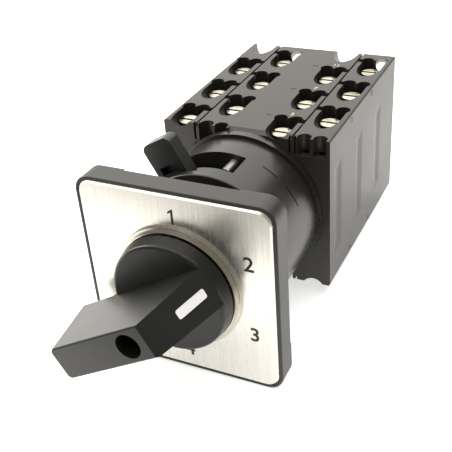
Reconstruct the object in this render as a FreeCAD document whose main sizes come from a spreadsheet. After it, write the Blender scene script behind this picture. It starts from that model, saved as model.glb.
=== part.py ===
import FreeCAD, Part
import Sketcher

import math
import os
import re

Vector = FreeCAD.Vector
Rotation = FreeCAD.Rotation
Placement = FreeCAD.Placement

# Rotary cam switch for a door or panel. Lengths in millimetres, angles in degrees.
# +Y runs back along the shaft, +Z is up, +X is to the right seen from the front.
# The origin is on the shaft axis in the panel's front face, where the frame's back
# and the neck's free wall meet. Clock angles run clockwise from the top, seen from
# the front.

CHAMBERS = 6

SIZES = [
    ("frame_side", 48.0, "front frame, outer side"),
    ("frame_depth", 5.6, "front frame, front to panel"),
    ("frame_corner", 4.0, "corner radius of the frame"),
    ("frame_rim", 0.8, "dark rim round the legend plate"),
    ("frame_round", 0.35, "softened outer front edge"),
    ("plate_pocket", 1.0, "depth of the seat of the legend plate"),
    ("frame_web", 2.6, "web between plate seat and seal seat"),
    ("seal_wall", 2.2, "rim round the seal seat"),
    ("pry_depth", 0.5, "levering step in the back edge"),
    ("pry_inset", 1.0, "levering step, inwards"),
    ("pry_reach", 14.0, "levering step, half length"),
    ("plate_gap", 0.05, "legend plate to frame, each side"),
    ("plate_proud", 0.3, "legend plate in front of the frame"),
    ("plate_bevel", 0.5, "bevelled lip of the legend plate"),
    ("plate_hole", 10.0, "hole radius in the legend plate"),
    ("collar_radius", 15.4, "low outer step of the collar ring"),
    ("collar_step", 0.8, "height of the low step"),
    ("collar_inner", 14.6, "radius of the raised ring"),
    ("collar_depth", 1.6, "height of the raised ring"),
    ("collar_bore", 9.4, "bore radius of the collar ring"),
    ("seal_gap", 0.3, "seal to frame, each side"),
    ("neck_radius", 11.1, "outer radius of the neck"),
    ("neck_fit", 0.1, "radial clearance on the neck"),
    ("neck_flange", 12.6, "radius of the neck's flange"),
    ("neck_flange_depth", 1.4, "thickness of the neck's flange"),
    ("neck_wall", 1.5, "outer wall of the neck"),
    ("neck_core", 6.2, "radius of the inner tube of the neck"),
    ("neck_floor", 3.6, "solid front of the neck"),
    ("neck_gap", 1.0, "neck end to the adapter's partition"),
    ("groove_radius", 10.3, "floor of the bayonet groove"),
    ("groove_fit", 0.1, "groove to locking lever, each side"),
    ("entry_width", 8.6, "width of the entry slots"),
    ("tooth_width", 7.2, "width of the lever's teeth"),
    ("tooth_reach", 10.5, "inner face of the lever's teeth"),
    ("lever_turn", 31.0, "turn of the locking lever to release"),
    ("shaft_radius", 4.2, "round journal of the shaft"),
    ("shaft_fit", 0.06, "running clearance of the shaft"),
    ("shaft_square", 5.8, "side of the shaft's square"),
    ("square_fit", 0.05, "square to its holes, each side"),
    ("shaft_tail", 3.0, "radius of the rear journal"),
    ("tail_gap", 0.2, "rear journal to the bottom of its bore"),
    ("collet_radius", 6.0, "radius of the shaft's retaining collar"),
    ("collet_depth", 0.6, "thickness of the retaining collar"),
    ("knob_lift", 2.0, "legend plate to the knob's disc"),
    ("disc_radius", 14.2, "knob disc at its back"),
    ("disc_taper", 0.6, "knob disc, smaller at its front by"),
    ("disc_depth", 3.6, "thickness of the knob disc"),
    ("disc_round", 0.8, "rounded front edge of the disc"),
    ("bar_depth", 16.3, "handle bar in front of the disc"),
    ("bar_half", 4.15, "half width of the bar at its front"),
    ("bar_flare", 0.67, "bar wider at the disc, each side"),
    ("bar_tail", 22.3, "shaft axis to the blunt end, at the front"),
    ("tail_flare", 3.0, "blunt end longer at the disc"),
    ("bar_nose", 5.7, "shaft axis to the slanted face, at the front"),
    ("nose_flare", 7.64, "slanted face longer at the disc"),
    ("bar_sink", 0.2, "bar let into the disc"),
    ("bar_chamfer", 0.6, "bevel between front and slanted face"),
    ("bar_round", 0.5, "rounded edges of the bar"),
    ("tail_round", 1.3, "rounded corners of the blunt end"),
    ("gusset_top", 16.4, "gusset under the blunt end, outer"),
    ("gusset_foot", 14.6, "gusset at the disc, outer"),
    ("gusset_half", 4.4, "gusset, half width"),
    ("gusset_rise", 0.45, "gusset in front of the disc's face"),
    ("gusset_drop", 1.7, "gusset behind the disc's face"),
    ("hub_radius", 8.6, "knob hub inside the collar ring"),
    ("hub_depth", 1.8, "knob hub behind the disc"),
    ("socket_web", 1.6, "web between screw well and socket"),
    ("socket_depth", 4.5, "square socket in the knob"),
    ("screw_well", 3.0, "radius of the screw well in the bar"),
    ("head_radius", 2.6, "radius of the handle screw's head"),
    ("head_depth", 2.0, "height of the handle screw's head"),
    ("shank_radius", 1.45, "radius of the M3 shanks"),
    ("shank_fit", 0.05, "M3 shank to its threaded hole"),
    ("shank_pass", 0.15, "M3 shank to a clearance hole"),
    ("handle_grip", 8.0, "handle screw in the shaft"),
    ("slot_width", 0.8, "screwdriver slots"),
    ("slot_depth", 0.9, "screwdriver slots, depth"),
    ("line_start", 8.2, "indicator line from the front edge"),
    ("line_length", 7.8, "indicator line, length"),
    ("line_half", 1.1, "indicator line, half width"),
    ("line_depth", 0.4, "indicator line, depth"),
    ("line_round", 0.5, "indicator line, corner radius"),
    ("line_gap", 0.03, "indicator line in its pocket"),
    ("panel_reach", 9.9, "panel face to the adapter housing"),
    ("shell_radius", 19.5, "adapter housing, outer radius"),
    ("shell_wall", 0.9, "adapter housing, wall"),
    ("shell_front", 2.0, "adapter housing, front wall"),
    ("shell_round", 0.4, "softened front edge of the housing"),
    ("head_room", 11.9, "adapter housing, front to the base"),
    ("window_start", -43.8, "lever window, first clock angle"),
    ("window_sweep", 59.2, "lever window, angle"),
    ("slit_width", 0.35, "snap slits in the housing"),
    ("slit_start", 28.0, "first slit, clock angle"),
    ("slit_sweep", 12.8, "first slit, angle"),
    ("slit_next", 49.9, "second slit, clock angle"),
    ("slit_reach", 15.5, "second slit, angle"),
    ("base_fit", 0.05, "base plug in the housing"),
    ("base_flange", 2.1, "rear flange of the adapter base"),
    ("base_flange_radius", 20.4, "radius of the rear flange"),
    ("partition_depth", 2.0, "partition behind the neck"),
    ("index_depth", 7.9, "index room behind the partition"),
    ("index_radius", 9.8, "radius of the index room"),
    ("lever_lift", 0.4, "front wall to the locking lever"),
    ("lever_depth", 3.8, "thickness of the locking lever"),
    ("lever_radius", 18.2, "ring of the locking lever"),
    ("lever_angle", -29.0, "clock angle of the lever's tab"),
    ("tab_half", 4.15, "lever tab, half width"),
    ("tab_tip", 28.2, "lever tab, end"),
    ("tab_round", 1.8, "lever tab, corner radius"),
    ("tab_recess", 1.6, "recess at the root of the tab"),
    ("clamp_radius", 1.1, "radius of the clamp screws"),
    ("clamp_circle", 17.1, "clamp screws from the axis"),
    ("clamp_angle", 6.7, "clock angle of the upper clamp screw"),
    ("clamp_reach", 5.1, "clamp screw in front of the partition"),
    ("clamp_length", 12.1, "length of a clamp screw"),
    ("star_radius", 9.2, "star wheel, tips"),
    ("star_depth", 3.2, "star wheel, thickness"),
    ("star_gap", 0.4, "partition to star wheel"),
    ("notch_radius", 2.6, "star wheel, notch radius"),
    ("notch_circle", 10.6, "star wheel, notch centres"),
    ("leaf_thick", 0.4, "index leaf springs, thickness"),
    ("leaf_width", 3.0, "index leaf springs, width"),
    ("leaf_half", 8.5, "index leaf springs, half length"),
    ("nose_radius", 2.3, "nose of the leaf springs"),
    ("leaf_gap", 0.05, "leaf ends in their grooves"),
    ("leaf_room", 2.2, "room behind the leaf springs"),
    ("leaf_hold", 1.3, "length of leaf held in the grooves"),
    ("stop_radius", 6.4, "stop disc"),
    ("stop_depth", 2.0, "stop disc, thickness"),
    ("stop_reach", 9.2, "stop lug, radius"),
    ("stop_sweep", 140.0, "stop lug, angle"),
    ("stop_middle", -30.0, "stop lug, clock angle of its middle"),
    ("post_half", 1.8, "stop post, half width"),
    ("post_gap", 0.5, "stop post to the disc's rim"),
    ("post_clear", 0.1, "stop post to the star wheel"),
    ("position_step", 60.0, "angle between switch positions"),
    ("rest_position", 60.0, "clock angle of the pointer as shown"),
    ("block_width", 44.4, "contact block, width"),
    ("block_height", 41.7, "contact block, height"),
    ("block_edge", 0.6, "rounded long edges of the block"),
    ("front_depth", 2.2, "front plate of the block"),
    ("front_bevel", 1.2, "dark bevel on the front plate's top edge"),
    ("chamber_pitch", 8.6, "one contact chamber"),
    ("chamber_floor", 1.6, "floor between chambers"),
    ("end_depth", 5.4, "end plate of the block"),
    ("end_skin", 0.6, "end plate behind the rear journal"),
    ("cavity_radius", 9.2, "cam room"),
    ("cam_low", 6.2, "smallest radius of a cam"),
    ("cam_travel", 2.0, "rise of a cam over half a turn"),
    ("cam_depth", 3.8, "thickness of a cam"),
    ("cam_gap", 0.4, "cam to the chamber floor"),
    ("cam_hub", 5.2, "radius of the cam hubs"),
    ("hub_fit", 0.4, "cam hub to the floor's hole"),
    ("tie_height", 14.5, "tie screws above and below the axis"),
    ("tie_head", 2.6, "tie screw head radius"),
    ("tie_recess", 2.2, "tie screw head recess"),
    ("tie_grip", 6.2, "tie screw in the adapter base"),
    ("near_column", 8.2, "inner terminal columns from the axis"),
    ("far_column", 17.6, "outer terminal columns from the axis"),
    ("well_half", 3.2, "terminal opening, half width"),
    ("well_length", 13.6, "terminal opening, length"),
    ("groove_slope", 29.0, "slope of the screwdriver groove"),
    ("lobe_radius", 1.75, "round wire entries"),
    ("lobe_offset", 2.0, "wire entries from the column's middle"),
    ("lobe_back", 4.4, "wire entries behind the screw"),
    ("lobe_tilt", 36.0, "slope of the last wire entries"),
    ("seam_column", 12.8, "joint lines along the block"),
    ("seam_width", 0.5, "joint lines, width"),
    ("seam_depth", 1.0, "joint lines, depth"),
    ("link_start", 2.6, "cross slots behind the screw"),
    ("link_length", 2.2, "cross slots, length"),
    ("snap_width", 0.6, "snap slots of the front plate"),
    ("snap_space", 1.4, "snap slots, spacing"),
    ("snap_length", 4.5, "snap slots, length"),
    ("snap_depth", 0.8, "snap slots, depth"),
    ("side_recess", 0.3, "side recess of each second chamber"),
    ("side_half", 12.5, "side recess, half height"),
    ("side_length", 5.2, "side recess, length"),
    ("strip_height", 15.6, "underside of the contact strips"),
    ("strip_thick", 0.8, "contact strips, thickness"),
    ("strip_width", 4.0, "contact strips, width"),
    ("strip_gap", 0.1, "contact strips in their slots"),
    ("strip_leg", 10.6, "outer face of the strip legs"),
    ("strip_foot", 5.5, "lower end of the strip legs"),
    ("strip_over", 2.4, "strip beyond the screw"),
    ("screw_radius", 1.5, "terminal screw shank"),
    ("screw_fit", 0.1, "terminal screw in its strip"),
    ("screw_head", 2.55, "terminal screw head"),
    ("screw_head_depth", 1.8, "terminal screw head, height"),
    ("screw_length", 4.4, "terminal screw below its clamp"),
    ("screw_room", 0.4, "round the screw's end"),
    ("clamp_plate", 0.9, "terminal clamp, thickness"),
    ("clamp_half", 2.7, "terminal clamp, half length"),
    ("plunger_half", 1.9, "plunger, half height and nose radius"),
    ("plunger_width", 3.6, "plunger, width"),
    ("plunger_gap", 0.1, "plunger in its guide"),
    ("plunger_tip", 0.12, "plunger nose to the cam"),
    ("plunger_end", 11.4, "shoulder of the plunger, contact made"),
    ("nib_radius", 1.0, "spring nib of the plunger"),
    ("nib_length", 1.4, "spring nib behind the bridge"),
    ("bridge_thick", 0.8, "contact bridge, thickness"),
    ("bridge_half", 8.6, "contact bridge, half length"),
    ("bridge_width", 3.4, "contact bridge, width"),
    ("bridge_gap", 0.6, "room at the bridge's ends"),
    ("tip_radius", 1.1, "contact tips"),
    ("tip_height", 7.0, "contact tips from the middle"),
    ("tip_gap", 0.05, "contact tip to the strip, contact made"),
    ("side_wall", 1.5, "block wall outside the springs"),
    ("coil_radius", 1.75, "contact springs, mean radius"),
    ("coil_wire", 0.25, "contact springs, wire radius"),
    ("coil_turns", 4.0, "contact springs, turns"),
    ("coil_room", 0.25, "round the contact springs"),
    ("coil_end", 0.05, "contact springs to their seats"),
]

PLACES = [
    ("frame_front", "-frame_depth"),
    ("pocket_floor", "frame_front + plate_pocket"),
    ("web_back", "pocket_floor + frame_web"),
    ("plate_side", "frame_side - 2 * (frame_rim + plate_gap)"),
    ("plate_front", "frame_front - plate_proud"),
    ("seal_side", "frame_side - 2 * (seal_wall + seal_gap)"),
    ("flange_back", "pocket_floor + neck_flange_depth"),
    ("disc_back", "plate_front - knob_lift"),
    ("disc_front", "disc_back - disc_depth"),
    ("bar_front", "disc_front - bar_depth"),
    ("bar_back", "disc_front + bar_sink"),
    ("hub_back", "disc_back + hub_depth"),
    ("socket_front", "hub_back - socket_depth"),
    ("well_floor", "socket_front - socket_web"),
    ("wall_back", "panel_reach + shell_front"),
    ("base_start", "panel_reach + head_room"),
    ("neck_end", "base_start - neck_gap"),
    ("index_start", "base_start + partition_depth"),
    ("block_start", "index_start + index_depth"),
    ("flange_start", "block_start - base_flange"),
    ("lever_front", "wall_back + lever_lift"),
    ("lever_back", "lever_front + lever_depth"),
    ("collet_back", "base_start - (neck_gap - collet_depth) / 2"),
    ("star_front", "index_start + star_gap"),
    ("star_back", "star_front + star_depth"),
    ("stop_back", "star_back + stop_depth"),
    ("front_back", "block_start + front_depth"),
    ("floor_front", "chamber_pitch - chamber_floor"),
    ("cam_front", "floor_front - cam_gap - cam_depth"),
    ("contact_middle", "floor_front - strip_gap - strip_width / 2"),
    ("block_top", "block_height / 2"),
    ("block_side", "block_width / 2"),
    ("strip_top", "strip_height + strip_thick"),
    ("bridge_back", "plunger_end + bridge_thick"),
    ("spring_end", "block_side - side_wall"),
    ("tip_front", "strip_leg + tip_gap"),
    ("lift_low", "cam_travel * position_step / 180"),
    ("lift_high", "cam_travel * (180 - position_step) / 180"),
    ("end_start", "block_start + %d * chamber_pitch" % CHAMBERS),
    ("block_end", "end_start + end_depth"),
    ("last_hub_end", "end_start + cam_front"),
    ("well_front", "well_length / 2 - chamber_pitch / 2 + contact_middle"),
]

ALONG_X = Rotation(Vector(0, 1, 0), 90)
ALONG_Y = Rotation(Vector(1, 0, 0), -90)
OVER_X = Rotation(Vector(1, 0, 0), 180)
OVER_Y = Rotation(Vector(0, 1, 0), 180)
OVER_Z = Rotation(Vector(0, 0, 1), 180)

doc = FreeCAD.newDocument("CamSwitch")
sizes = doc.addObject("Spreadsheet::Sheet", "Sizes")
places = doc.addObject("Spreadsheet::Sheet", "Places")
OWNER = {alias: "Sizes" for alias, _, _ in SIZES}
OWNER.update({alias: "Places" for alias, _ in PLACES})
WORD = re.compile(r"[a-z]+(?:_[a-z]+)*")


def named(text):
    """Point every named size in an expression at its sheet."""
    return WORD.sub(lambda m: f"{OWNER[m[0]]}.{m[0]}" if m[0] in OWNER else m[0], str(text))


for row, (alias, number, note) in enumerate(SIZES, 1):
    sizes.set(f"A{row}", alias)
    sizes.set(f"B{row}", str(number))
    sizes.set(f"C{row}", note)
    sizes.setAlias(f"B{row}", alias)
doc.recompute()
for row, (alias, text) in enumerate(PLACES, 1):
    places.set(f"A{row}", alias)
    places.set(f"B{row}", "=" + named(text).replace("Places.", ""))
    places.setAlias(f"B{row}", alias)
doc.recompute()


def value(alias):
    """Read one size or place from its sheet."""
    return float(doc.getObject(OWNER[alias]).get(alias))


def tie(item, prop, text):
    """Bind a property to an expression in the named sizes."""
    item.setExpression(prop, named(text))
    return item


def move(item, x="0", y="0", z="0", turn=None):
    """Place an object, its position bound to the named sizes."""
    if turn is not None:
        item.Placement = Placement(Vector(), turn)
    for axis, text in zip("xyz", (x, y, z)):
        if text != "0":
            tie(item, f"Placement.Base.{axis}", text)
    return item


def box(name, x, y, z):
    """Make a box between three pairs of bounds."""
    item = doc.addObject("Part::Box", name)
    for prop, (low, high) in (("Length", x), ("Width", y), ("Height", z)):
        tie(item, prop, f"({high}) - ({low})")
    return move(item, x[0], y[0], z[0])


def rod(name, radius, low, high, along="y", across=("0", "0")):
    """Make a cylinder along an axis; across gives its other two coordinates."""
    item = doc.addObject("Part::Cylinder", name)
    tie(item, "Radius", radius)
    tie(item, "Height", f"({high}) - ({low})")
    first, second = across
    if along == "x":
        return move(item, low, first, second, ALONG_X)
    if along == "y":
        return move(item, first, low, second, ALONG_Y)
    return move(item, first, second, low)


def sector(name, radius, low, high, start, sweep):
    """Make a pie slice along Y from a clock angle, clockwise."""
    item = rod(name, radius, low, high)
    tie(item, "Angle", sweep)
    item.Placement = Placement(Vector(), Rotation(Vector(0, 1, 0), start - 90) * ALONG_Y)
    return move(item, y=low)


def fuse(name, *parts):
    """Join objects into one."""
    item = doc.addObject("Part::MultiFuse", name)
    item.Shapes = list(parts)
    item.Refine = True
    return item


def group(name, *parts):
    """Hold separate solids together without joining them."""
    item = doc.addObject("Part::Compound", name)
    item.Links = list(parts)
    return item


def cut(name, base, *tools):
    """Take one or more tools away from a base."""
    item = doc.addObject("Part::Cut", name)
    item.Base = base
    item.Tool = tools[0] if len(tools) == 1 else fuse(name + "_tools", *tools)
    item.Refine = True
    return item


def stamp(name, source, x="0", y="0", z="0", turn=None):
    """Set a copy of an object at a new place, still tied to its source."""
    return move(group(name, source), x, y, z, turn)


def edges(item, wanted):
    """List the numbers of the edges whose middle, ends and length pass a test."""
    doc.recompute()
    picked = []
    for number, edge in enumerate(item.Shape.Edges, 1):
        if edge.Length > 1e-6 and wanted(edge):
            picked.append(number)
    return picked


def soften(kind, name, base, *rules):
    """Fillet or chamfer edges; each rule is a size and a test."""
    item = doc.addObject(kind, name)
    item.Base = base
    chosen = []
    for amount, wanted in rules:
        chosen += [(number, amount, amount) for number in edges(base, wanted)]
    item.Edges = chosen
    return item


def tile(name, side, corner, low, high):
    """Make a centred square plate with rounded corners between two depths."""
    raw = box(name + "_raw", (f"-({side}) / 2", f"({side}) / 2"), (low, high),
              (f"-({side}) / 2", f"({side}) / 2"))
    return soften("Part::Fillet", name, raw, (corner, lambda e: upright(e, BACK)))


def sketch_on(body, name, role, offset=None):
    """Start a sketch on one of a body's own planes, set off along its normal."""
    plane = [part for part in body.Origin.OriginFeatures if part.Role == role][0]
    sketch = body.newObject("Sketcher::SketchObject", name)
    sketch.AttachmentSupport = (plane, [""])
    sketch.MapMode = "FlatFace"
    if offset:
        tie(sketch, "AttachmentOffset.Base.z", offset)
    return sketch


def square_on(body, name, y, side):
    """Sketch a centred square in a plane across the shaft."""
    sketch = sketch_on(body, name, "XZ_Plane", f"-({y})")
    half = 10.0
    corners = [Vector(-half, -half, 0), Vector(half, -half, 0),
               Vector(half, half, 0), Vector(-half, half, 0)]
    for number in range(4):
        line = Part.LineSegment(corners[number], corners[(number + 1) % 4])
        sketch.addGeometry(line, False)
    for number in range(4):
        sketch.addConstraint(
            Sketcher.Constraint("Coincident", number, 2, (number + 1) % 4, 1))
    for number in (0, 2):
        sketch.addConstraint(Sketcher.Constraint("Horizontal", number))
        sketch.addConstraint(Sketcher.Constraint("Vertical", number + 1))
    sketch.addConstraint(Sketcher.Constraint("Symmetric", 0, 1, 2, 1, -1, 1))
    for number, label in ((0, "wide"), (1, "tall")):
        index = sketch.addConstraint(Sketcher.Constraint("Distance", number, 2 * half))
        sketch.renameConstraint(index, label)
        tie(sketch, "Constraints." + label, side)
    return sketch


def circle_on(body, name, y, radius):
    """Sketch a centred circle in a plane across the shaft."""
    sketch = sketch_on(body, name, "XZ_Plane", f"-({y})")
    sketch.addGeometry(Part.Circle(Vector(), Vector(0, 0, 1), 5.0), False)
    sketch.addConstraint(Sketcher.Constraint("Coincident", 0, 3, -1, 1))
    index = sketch.addConstraint(Sketcher.Constraint("Radius", 0, 5.0))
    sketch.renameConstraint(index, "round")
    tie(sketch, "Constraints.round", radius)
    return sketch


def raised(body, name, sketch, length):
    """Pad a sketch backwards along the shaft."""
    pad = body.newObject("PartDesign::Pad", name)
    pad.Profile = sketch
    pad.Reversed = True
    tie(pad, "Length", length)
    doc.recompute()
    return pad


def sunk(body, name, sketch, length):
    """Pocket a sketch backwards along the shaft and make sure that it cuts."""
    doc.recompute()
    before = body.Shape.Volume
    pocket = body.newObject("PartDesign::Pocket", name)
    pocket.Profile = sketch
    tie(pocket, "Length", length)
    doc.recompute()
    if body.Shape.Volume > before - 1e-6:
        raise RuntimeError(f"pocket {name} cuts nothing")
    return pocket


def dressed(body, kind, name, amount, wanted):
    """Fillet or chamfer the edges of a body that pass a test."""
    chosen = [f"Edge{number}" for number in edges(body, wanted)]
    item = body.newObject(kind, name)
    item.Base = (body.Tip if body.Tip != item else item.BaseFeature, chosen)
    tie(item, "Radius" if kind.endswith("Fillet") else "Size", amount)
    doc.recompute()
    return item


def turned(name, points, role="XY_Plane"):
    """Revolve a closed profile of (radius, height) corners about Y or Z."""
    body = doc.addObject("PartDesign::Body", name)
    sketch = sketch_on(body, name + "_profile", role)
    count = len(points)
    rough = []
    for number in range(count):
        angle = 2 * math.pi * number / count
        rough.append(Vector(20 + 5 * math.cos(angle), 5 * math.sin(angle), 0))
    for number in range(count):
        sketch.addGeometry(Part.LineSegment(rough[number], rough[(number + 1) % count]), False)
    for number in range(count):
        sketch.addConstraint(
            Sketcher.Constraint("Coincident", number, 2, (number + 1) % count, 1))
    for number, pair in enumerate(points):
        for kind, text in zip(("DistanceX", "DistanceY"), pair):
            spot = rough[number].x if kind == "DistanceX" else rough[number].y
            index = sketch.addConstraint(Sketcher.Constraint(kind, -1, 1, number, 1, spot))
            label = f"{'ry'[kind == 'DistanceY']}_{number}"
            sketch.renameConstraint(index, label)
            tie(sketch, "Constraints." + label, text)
    ring = body.newObject("PartDesign::Revolution", name + "_turn")
    ring.Profile = sketch
    ring.ReferenceAxis = (sketch, ["V_Axis"])
    ring.Angle = 360.0
    doc.recompute()
    return body


PIECES = []


def keep(item, label):
    """Name a finished piece."""
    item.Label = label
    PIECES.append(item)
    return item


def middle(edge):
    """Return the middle of an edge."""
    return edge.valueAt((edge.FirstParameter + edge.LastParameter) / 2)


def upright(edge, direction):
    """Say whether an edge is straight and runs along a direction."""
    if edge.Curve.TypeId != "Part::GeomLine":
        return False
    return abs(edge.Curve.Direction.dot(direction)) > 0.99


EAST = Vector(1, 0, 0)
BACK = Vector(0, 1, 0)
UP = Vector(0, 0, 1)

# Front frame: a pad with the plate's seat, the seal's seat and the neck's seat.
frame = doc.addObject("PartDesign::Body", "frame_body")
raised(frame, "frame_pad", square_on(frame, "frame_outline", "frame_front", "frame_side"),
       "frame_depth")
dressed(frame, "PartDesign::Fillet", "frame_corners", "frame_corner",
        lambda e: upright(e, BACK))
dressed(frame, "PartDesign::Fillet", "frame_edges", "frame_round",
        lambda e: abs(middle(e).y - value("frame_front")) < 1e-6)
seats = [
    tile("plate_seat", "frame_side - 2 * frame_rim", value("frame_corner") - value("frame_rim"),
         "frame_front - 1", "pocket_floor"),
    tile("seal_seat", "frame_side - 2 * seal_wall", value("frame_corner") - 1, "web_back", "1"),
    rod("neck_hole", "neck_radius + neck_fit", "frame_front - 1", "1"),
    rod("flange_seat", "neck_flange + neck_fit", "pocket_floor - 1", "flange_back"),
]
pries = []
for number, turn in enumerate((0, 90, 180, 270)):
    bar = box(f"pry_{number}", ("-pry_reach", "pry_reach"), ("-pry_depth", "pry_depth"),
              ("frame_side / 2 - pry_inset", "frame_side / 2 + 1"))
    pries.append(stamp(f"pry_turned_{number}", bar, turn=Rotation(Vector(0, 1, 0), turn)))
keep(cut("frame_cut", frame, *seats, *pries), "front_frame")

# Legend plate with its bevelled lip.
plate = doc.addObject("PartDesign::Body", "plate_body")
raised(plate, "plate_pad", square_on(plate, "plate_outline", "plate_front", "plate_side"),
       "plate_pocket + plate_proud")
dressed(plate, "PartDesign::Fillet", "plate_corners", "frame_corner - frame_rim - plate_gap",
        lambda e: upright(e, BACK))
dressed(plate, "PartDesign::Chamfer", "plate_lip", "plate_bevel",
        lambda e: abs(middle(e).y - value("plate_front")) < 1e-6)
sunk(plate, "plate_hole_cut",
     circle_on(plate, "plate_hole_outline", "plate_front", "plate_hole"),
     "plate_pocket + plate_proud")
keep(plate, "legend_plate")

# Stepped collar ring on the plate.
keep(turned("collar_ring", [
    ("collar_bore", "plate_front"), ("collar_radius", "plate_front"),
    ("collar_radius", "plate_front - collar_step"),
    ("collar_inner", "plate_front - collar_step"),
    ("collar_inner", "plate_front - collar_depth"),
    ("collar_bore", "plate_front - collar_depth"),
]), "collar_ring")

# Panel seal in the frame's back.
seal = doc.addObject("PartDesign::Body", "seal_body")
raised(seal, "seal_pad", square_on(seal, "seal_outline", "web_back", "seal_side"), "-web_back")
dressed(seal, "PartDesign::Fillet", "seal_corners", "frame_corner - 1",
        lambda e: upright(e, BACK))
sunk(seal, "seal_hole", circle_on(seal, "seal_hole_outline", "web_back", "neck_radius + neck_fit"),
     "-web_back")
keep(seal, "front_seal")

# Neck: flange, outer tube, inner tube, bayonet groove and its two entries.
neck = turned("neck_turned", [
    ("shaft_radius + shaft_fit", "pocket_floor"), ("neck_flange", "pocket_floor"),
    ("neck_flange", "flange_back"), ("neck_radius", "flange_back"),
    ("neck_radius", "lever_front - groove_fit"), ("groove_radius", "lever_front - groove_fit"),
    ("groove_radius", "lever_back + groove_fit"), ("neck_radius", "lever_back + groove_fit"),
    ("neck_radius", "neck_end"), ("neck_radius - neck_wall", "neck_end"),
    ("neck_radius - neck_wall", "pocket_floor + neck_floor"),
    ("neck_core", "pocket_floor + neck_floor"), ("neck_core", "neck_end"),
    ("shaft_radius + shaft_fit", "neck_end"),
])
entry = box("entry_box", ("-entry_width / 2", "entry_width / 2"),
            ("lever_back", "neck_end + 1"), ("groove_radius", "neck_radius + 2"))
entries = [stamp(f"entry_{number}", entry,
                 turn=Rotation(Vector(0, 1, 0), 90 + value("lever_turn") + 180 * number))
           for number in (0, 1)]
keep(cut("neck_cut", neck, group("entries", *entries)), "front_neck")

# Adapter housing: a cup with the lever's window and two snap slits.
shell = turned("shell_turned", [
    ("neck_radius + neck_fit", "panel_reach"), ("shell_radius", "panel_reach"),
    ("shell_radius", "flange_start"), ("shell_radius - shell_wall", "flange_start"),
    ("shell_radius - shell_wall", "wall_back"), ("neck_radius + neck_fit", "wall_back"),
])
shell_soft = soften("Part::Fillet", "shell_soft", shell, (
    value("shell_round"),
    lambda e: abs(middle(e).y - value("panel_reach")) < 1e-6
    and e.Curve.TypeId == "Part::GeomCircle" and e.Curve.Radius > value("shell_radius") - 0.1))
window = cut(
    "window_ring",
    sector("window_slice", "shell_radius + 1", "wall_back", "base_start",
           value("window_start"), "window_sweep"),
    rod("window_core", "shell_radius - shell_wall - 0.5", "wall_back - 1", "base_start + 1"))
slits = [
    sector("slit_one", "shell_radius + 1", "base_start", "base_start + slit_width",
           value("slit_start"), "slit_sweep"),
    sector("slit_two", "shell_radius + 1", "base_start", "base_start + slit_width",
           value("slit_next"), "slit_reach"),
]
keep(cut("shell_cut", shell_soft, window, *slits), "adapter_housing")

# Adapter base: plug, rear flange, partition and the index room.
base = turned("base_turned", [
    ("shaft_radius + shaft_fit", "base_start"),
    ("shell_radius - shell_wall - base_fit", "base_start"),
    ("shell_radius - shell_wall - base_fit", "flange_start"),
    ("base_flange_radius", "flange_start"), ("base_flange_radius", "block_start"),
    ("index_radius", "block_start"), ("index_radius", "index_start"),
    ("shaft_radius + shaft_fit", "index_start"),
])
leaf_out = "notch_circle - leaf_thick"
rooms = []
for number in (0, 1):
    pocket = box(f"leaf_pocket_{number}",
                 ("stop_reach - 0.7", "notch_circle + leaf_room"),
                 ("index_start", "block_start + 1"),
                 ("-(leaf_half - leaf_hold)", "leaf_half - leaf_hold"))
    groove = box(f"leaf_groove_{number}",
                 (f"{leaf_out} - leaf_gap", "notch_circle + leaf_gap"),
                 ("index_start", "block_start + 1"),
                 ("-leaf_half - leaf_gap", "leaf_half + leaf_gap"))
    both = fuse(f"leaf_room_{number}", pocket, groove)
    rooms.append(stamp(f"leaf_room_set_{number}", both, turn=OVER_Y) if number else both)
holes = []
for number, sign in enumerate(("", "-")):
    holes.append(rod(f"tie_tap_{number}", "shank_radius + shank_fit",
                     "block_start - tie_grip - 0.2", "block_start + 1",
                     across=("0", f"{sign}tie_height")))
    angle = math.radians(value("clamp_angle"))
    hole = rod(f"clamp_tap_{number}", "clamp_radius + 0.02", "base_start - 1",
               "base_start - clamp_reach + clamp_length + 0.1",
               across=(f"{sign}clamp_circle * {math.sin(angle):.9f}",
                       f"{sign}clamp_circle * {math.cos(angle):.9f}"))
    holes.append(hole)
base_cut = cut("base_cut", base, *rooms, *holes)
post = rod("post_rod", "index_radius + 0.5", "star_back + post_clear", "stop_back")
post_box = box("post_box", ("-post_half", "post_half"), ("star_back", "stop_back + 1"),
               ("-index_radius - 0.5", "-stop_radius - post_gap"))
stop_post = doc.addObject("Part::MultiCommon", "stop_post")
stop_post.Shapes = [post, post_box]
keep(fuse("base_all", base_cut, stop_post), "adapter_base")

# Locking lever: ring with two bayonet teeth and the tab through the window.
lever_ring = rod("lever_disc", "lever_radius", "lever_front", "lever_back")
tab = box("tab_box", ("-tab_half", "tab_half"), ("lever_front", "lever_back"),
          ("neck_radius + 3", "tab_tip"))
tab_soft = soften("Part::Fillet", "tab_soft", tab, (
    value("tab_round"),
    lambda e: upright(e, BACK) and middle(e).z > value("tab_tip") - 1e-3))
tab_cut = cut("tab_cut", tab_soft,
              box("tab_hollow", ("-tab_half + 1.55", "tab_half - 1.55"),
                  ("lever_front - 1", "lever_front + 1.5"),
                  ("shell_radius + 0.3", "shell_radius + 0.3 + tab_recess * 1.25")))
tab_turned = stamp("tab_turned", tab_cut, turn=Rotation(Vector(0, 1, 0), value("lever_angle")))
teeth = [box(f"tooth_{number}", pair, ("lever_front", "lever_back"),
             ("-tooth_width / 2", "tooth_width / 2"))
         for number, pair in enumerate((("tooth_reach", "neck_radius + 1"),
                                        ("-neck_radius - 1", "-tooth_reach")))]
lever_body = cut("lever_bored", fuse("lever_blank", lever_ring, tab_turned),
                 rod("lever_bore", "neck_radius + neck_fit", "lever_front - 1",
                     "lever_back + 1"))
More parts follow.
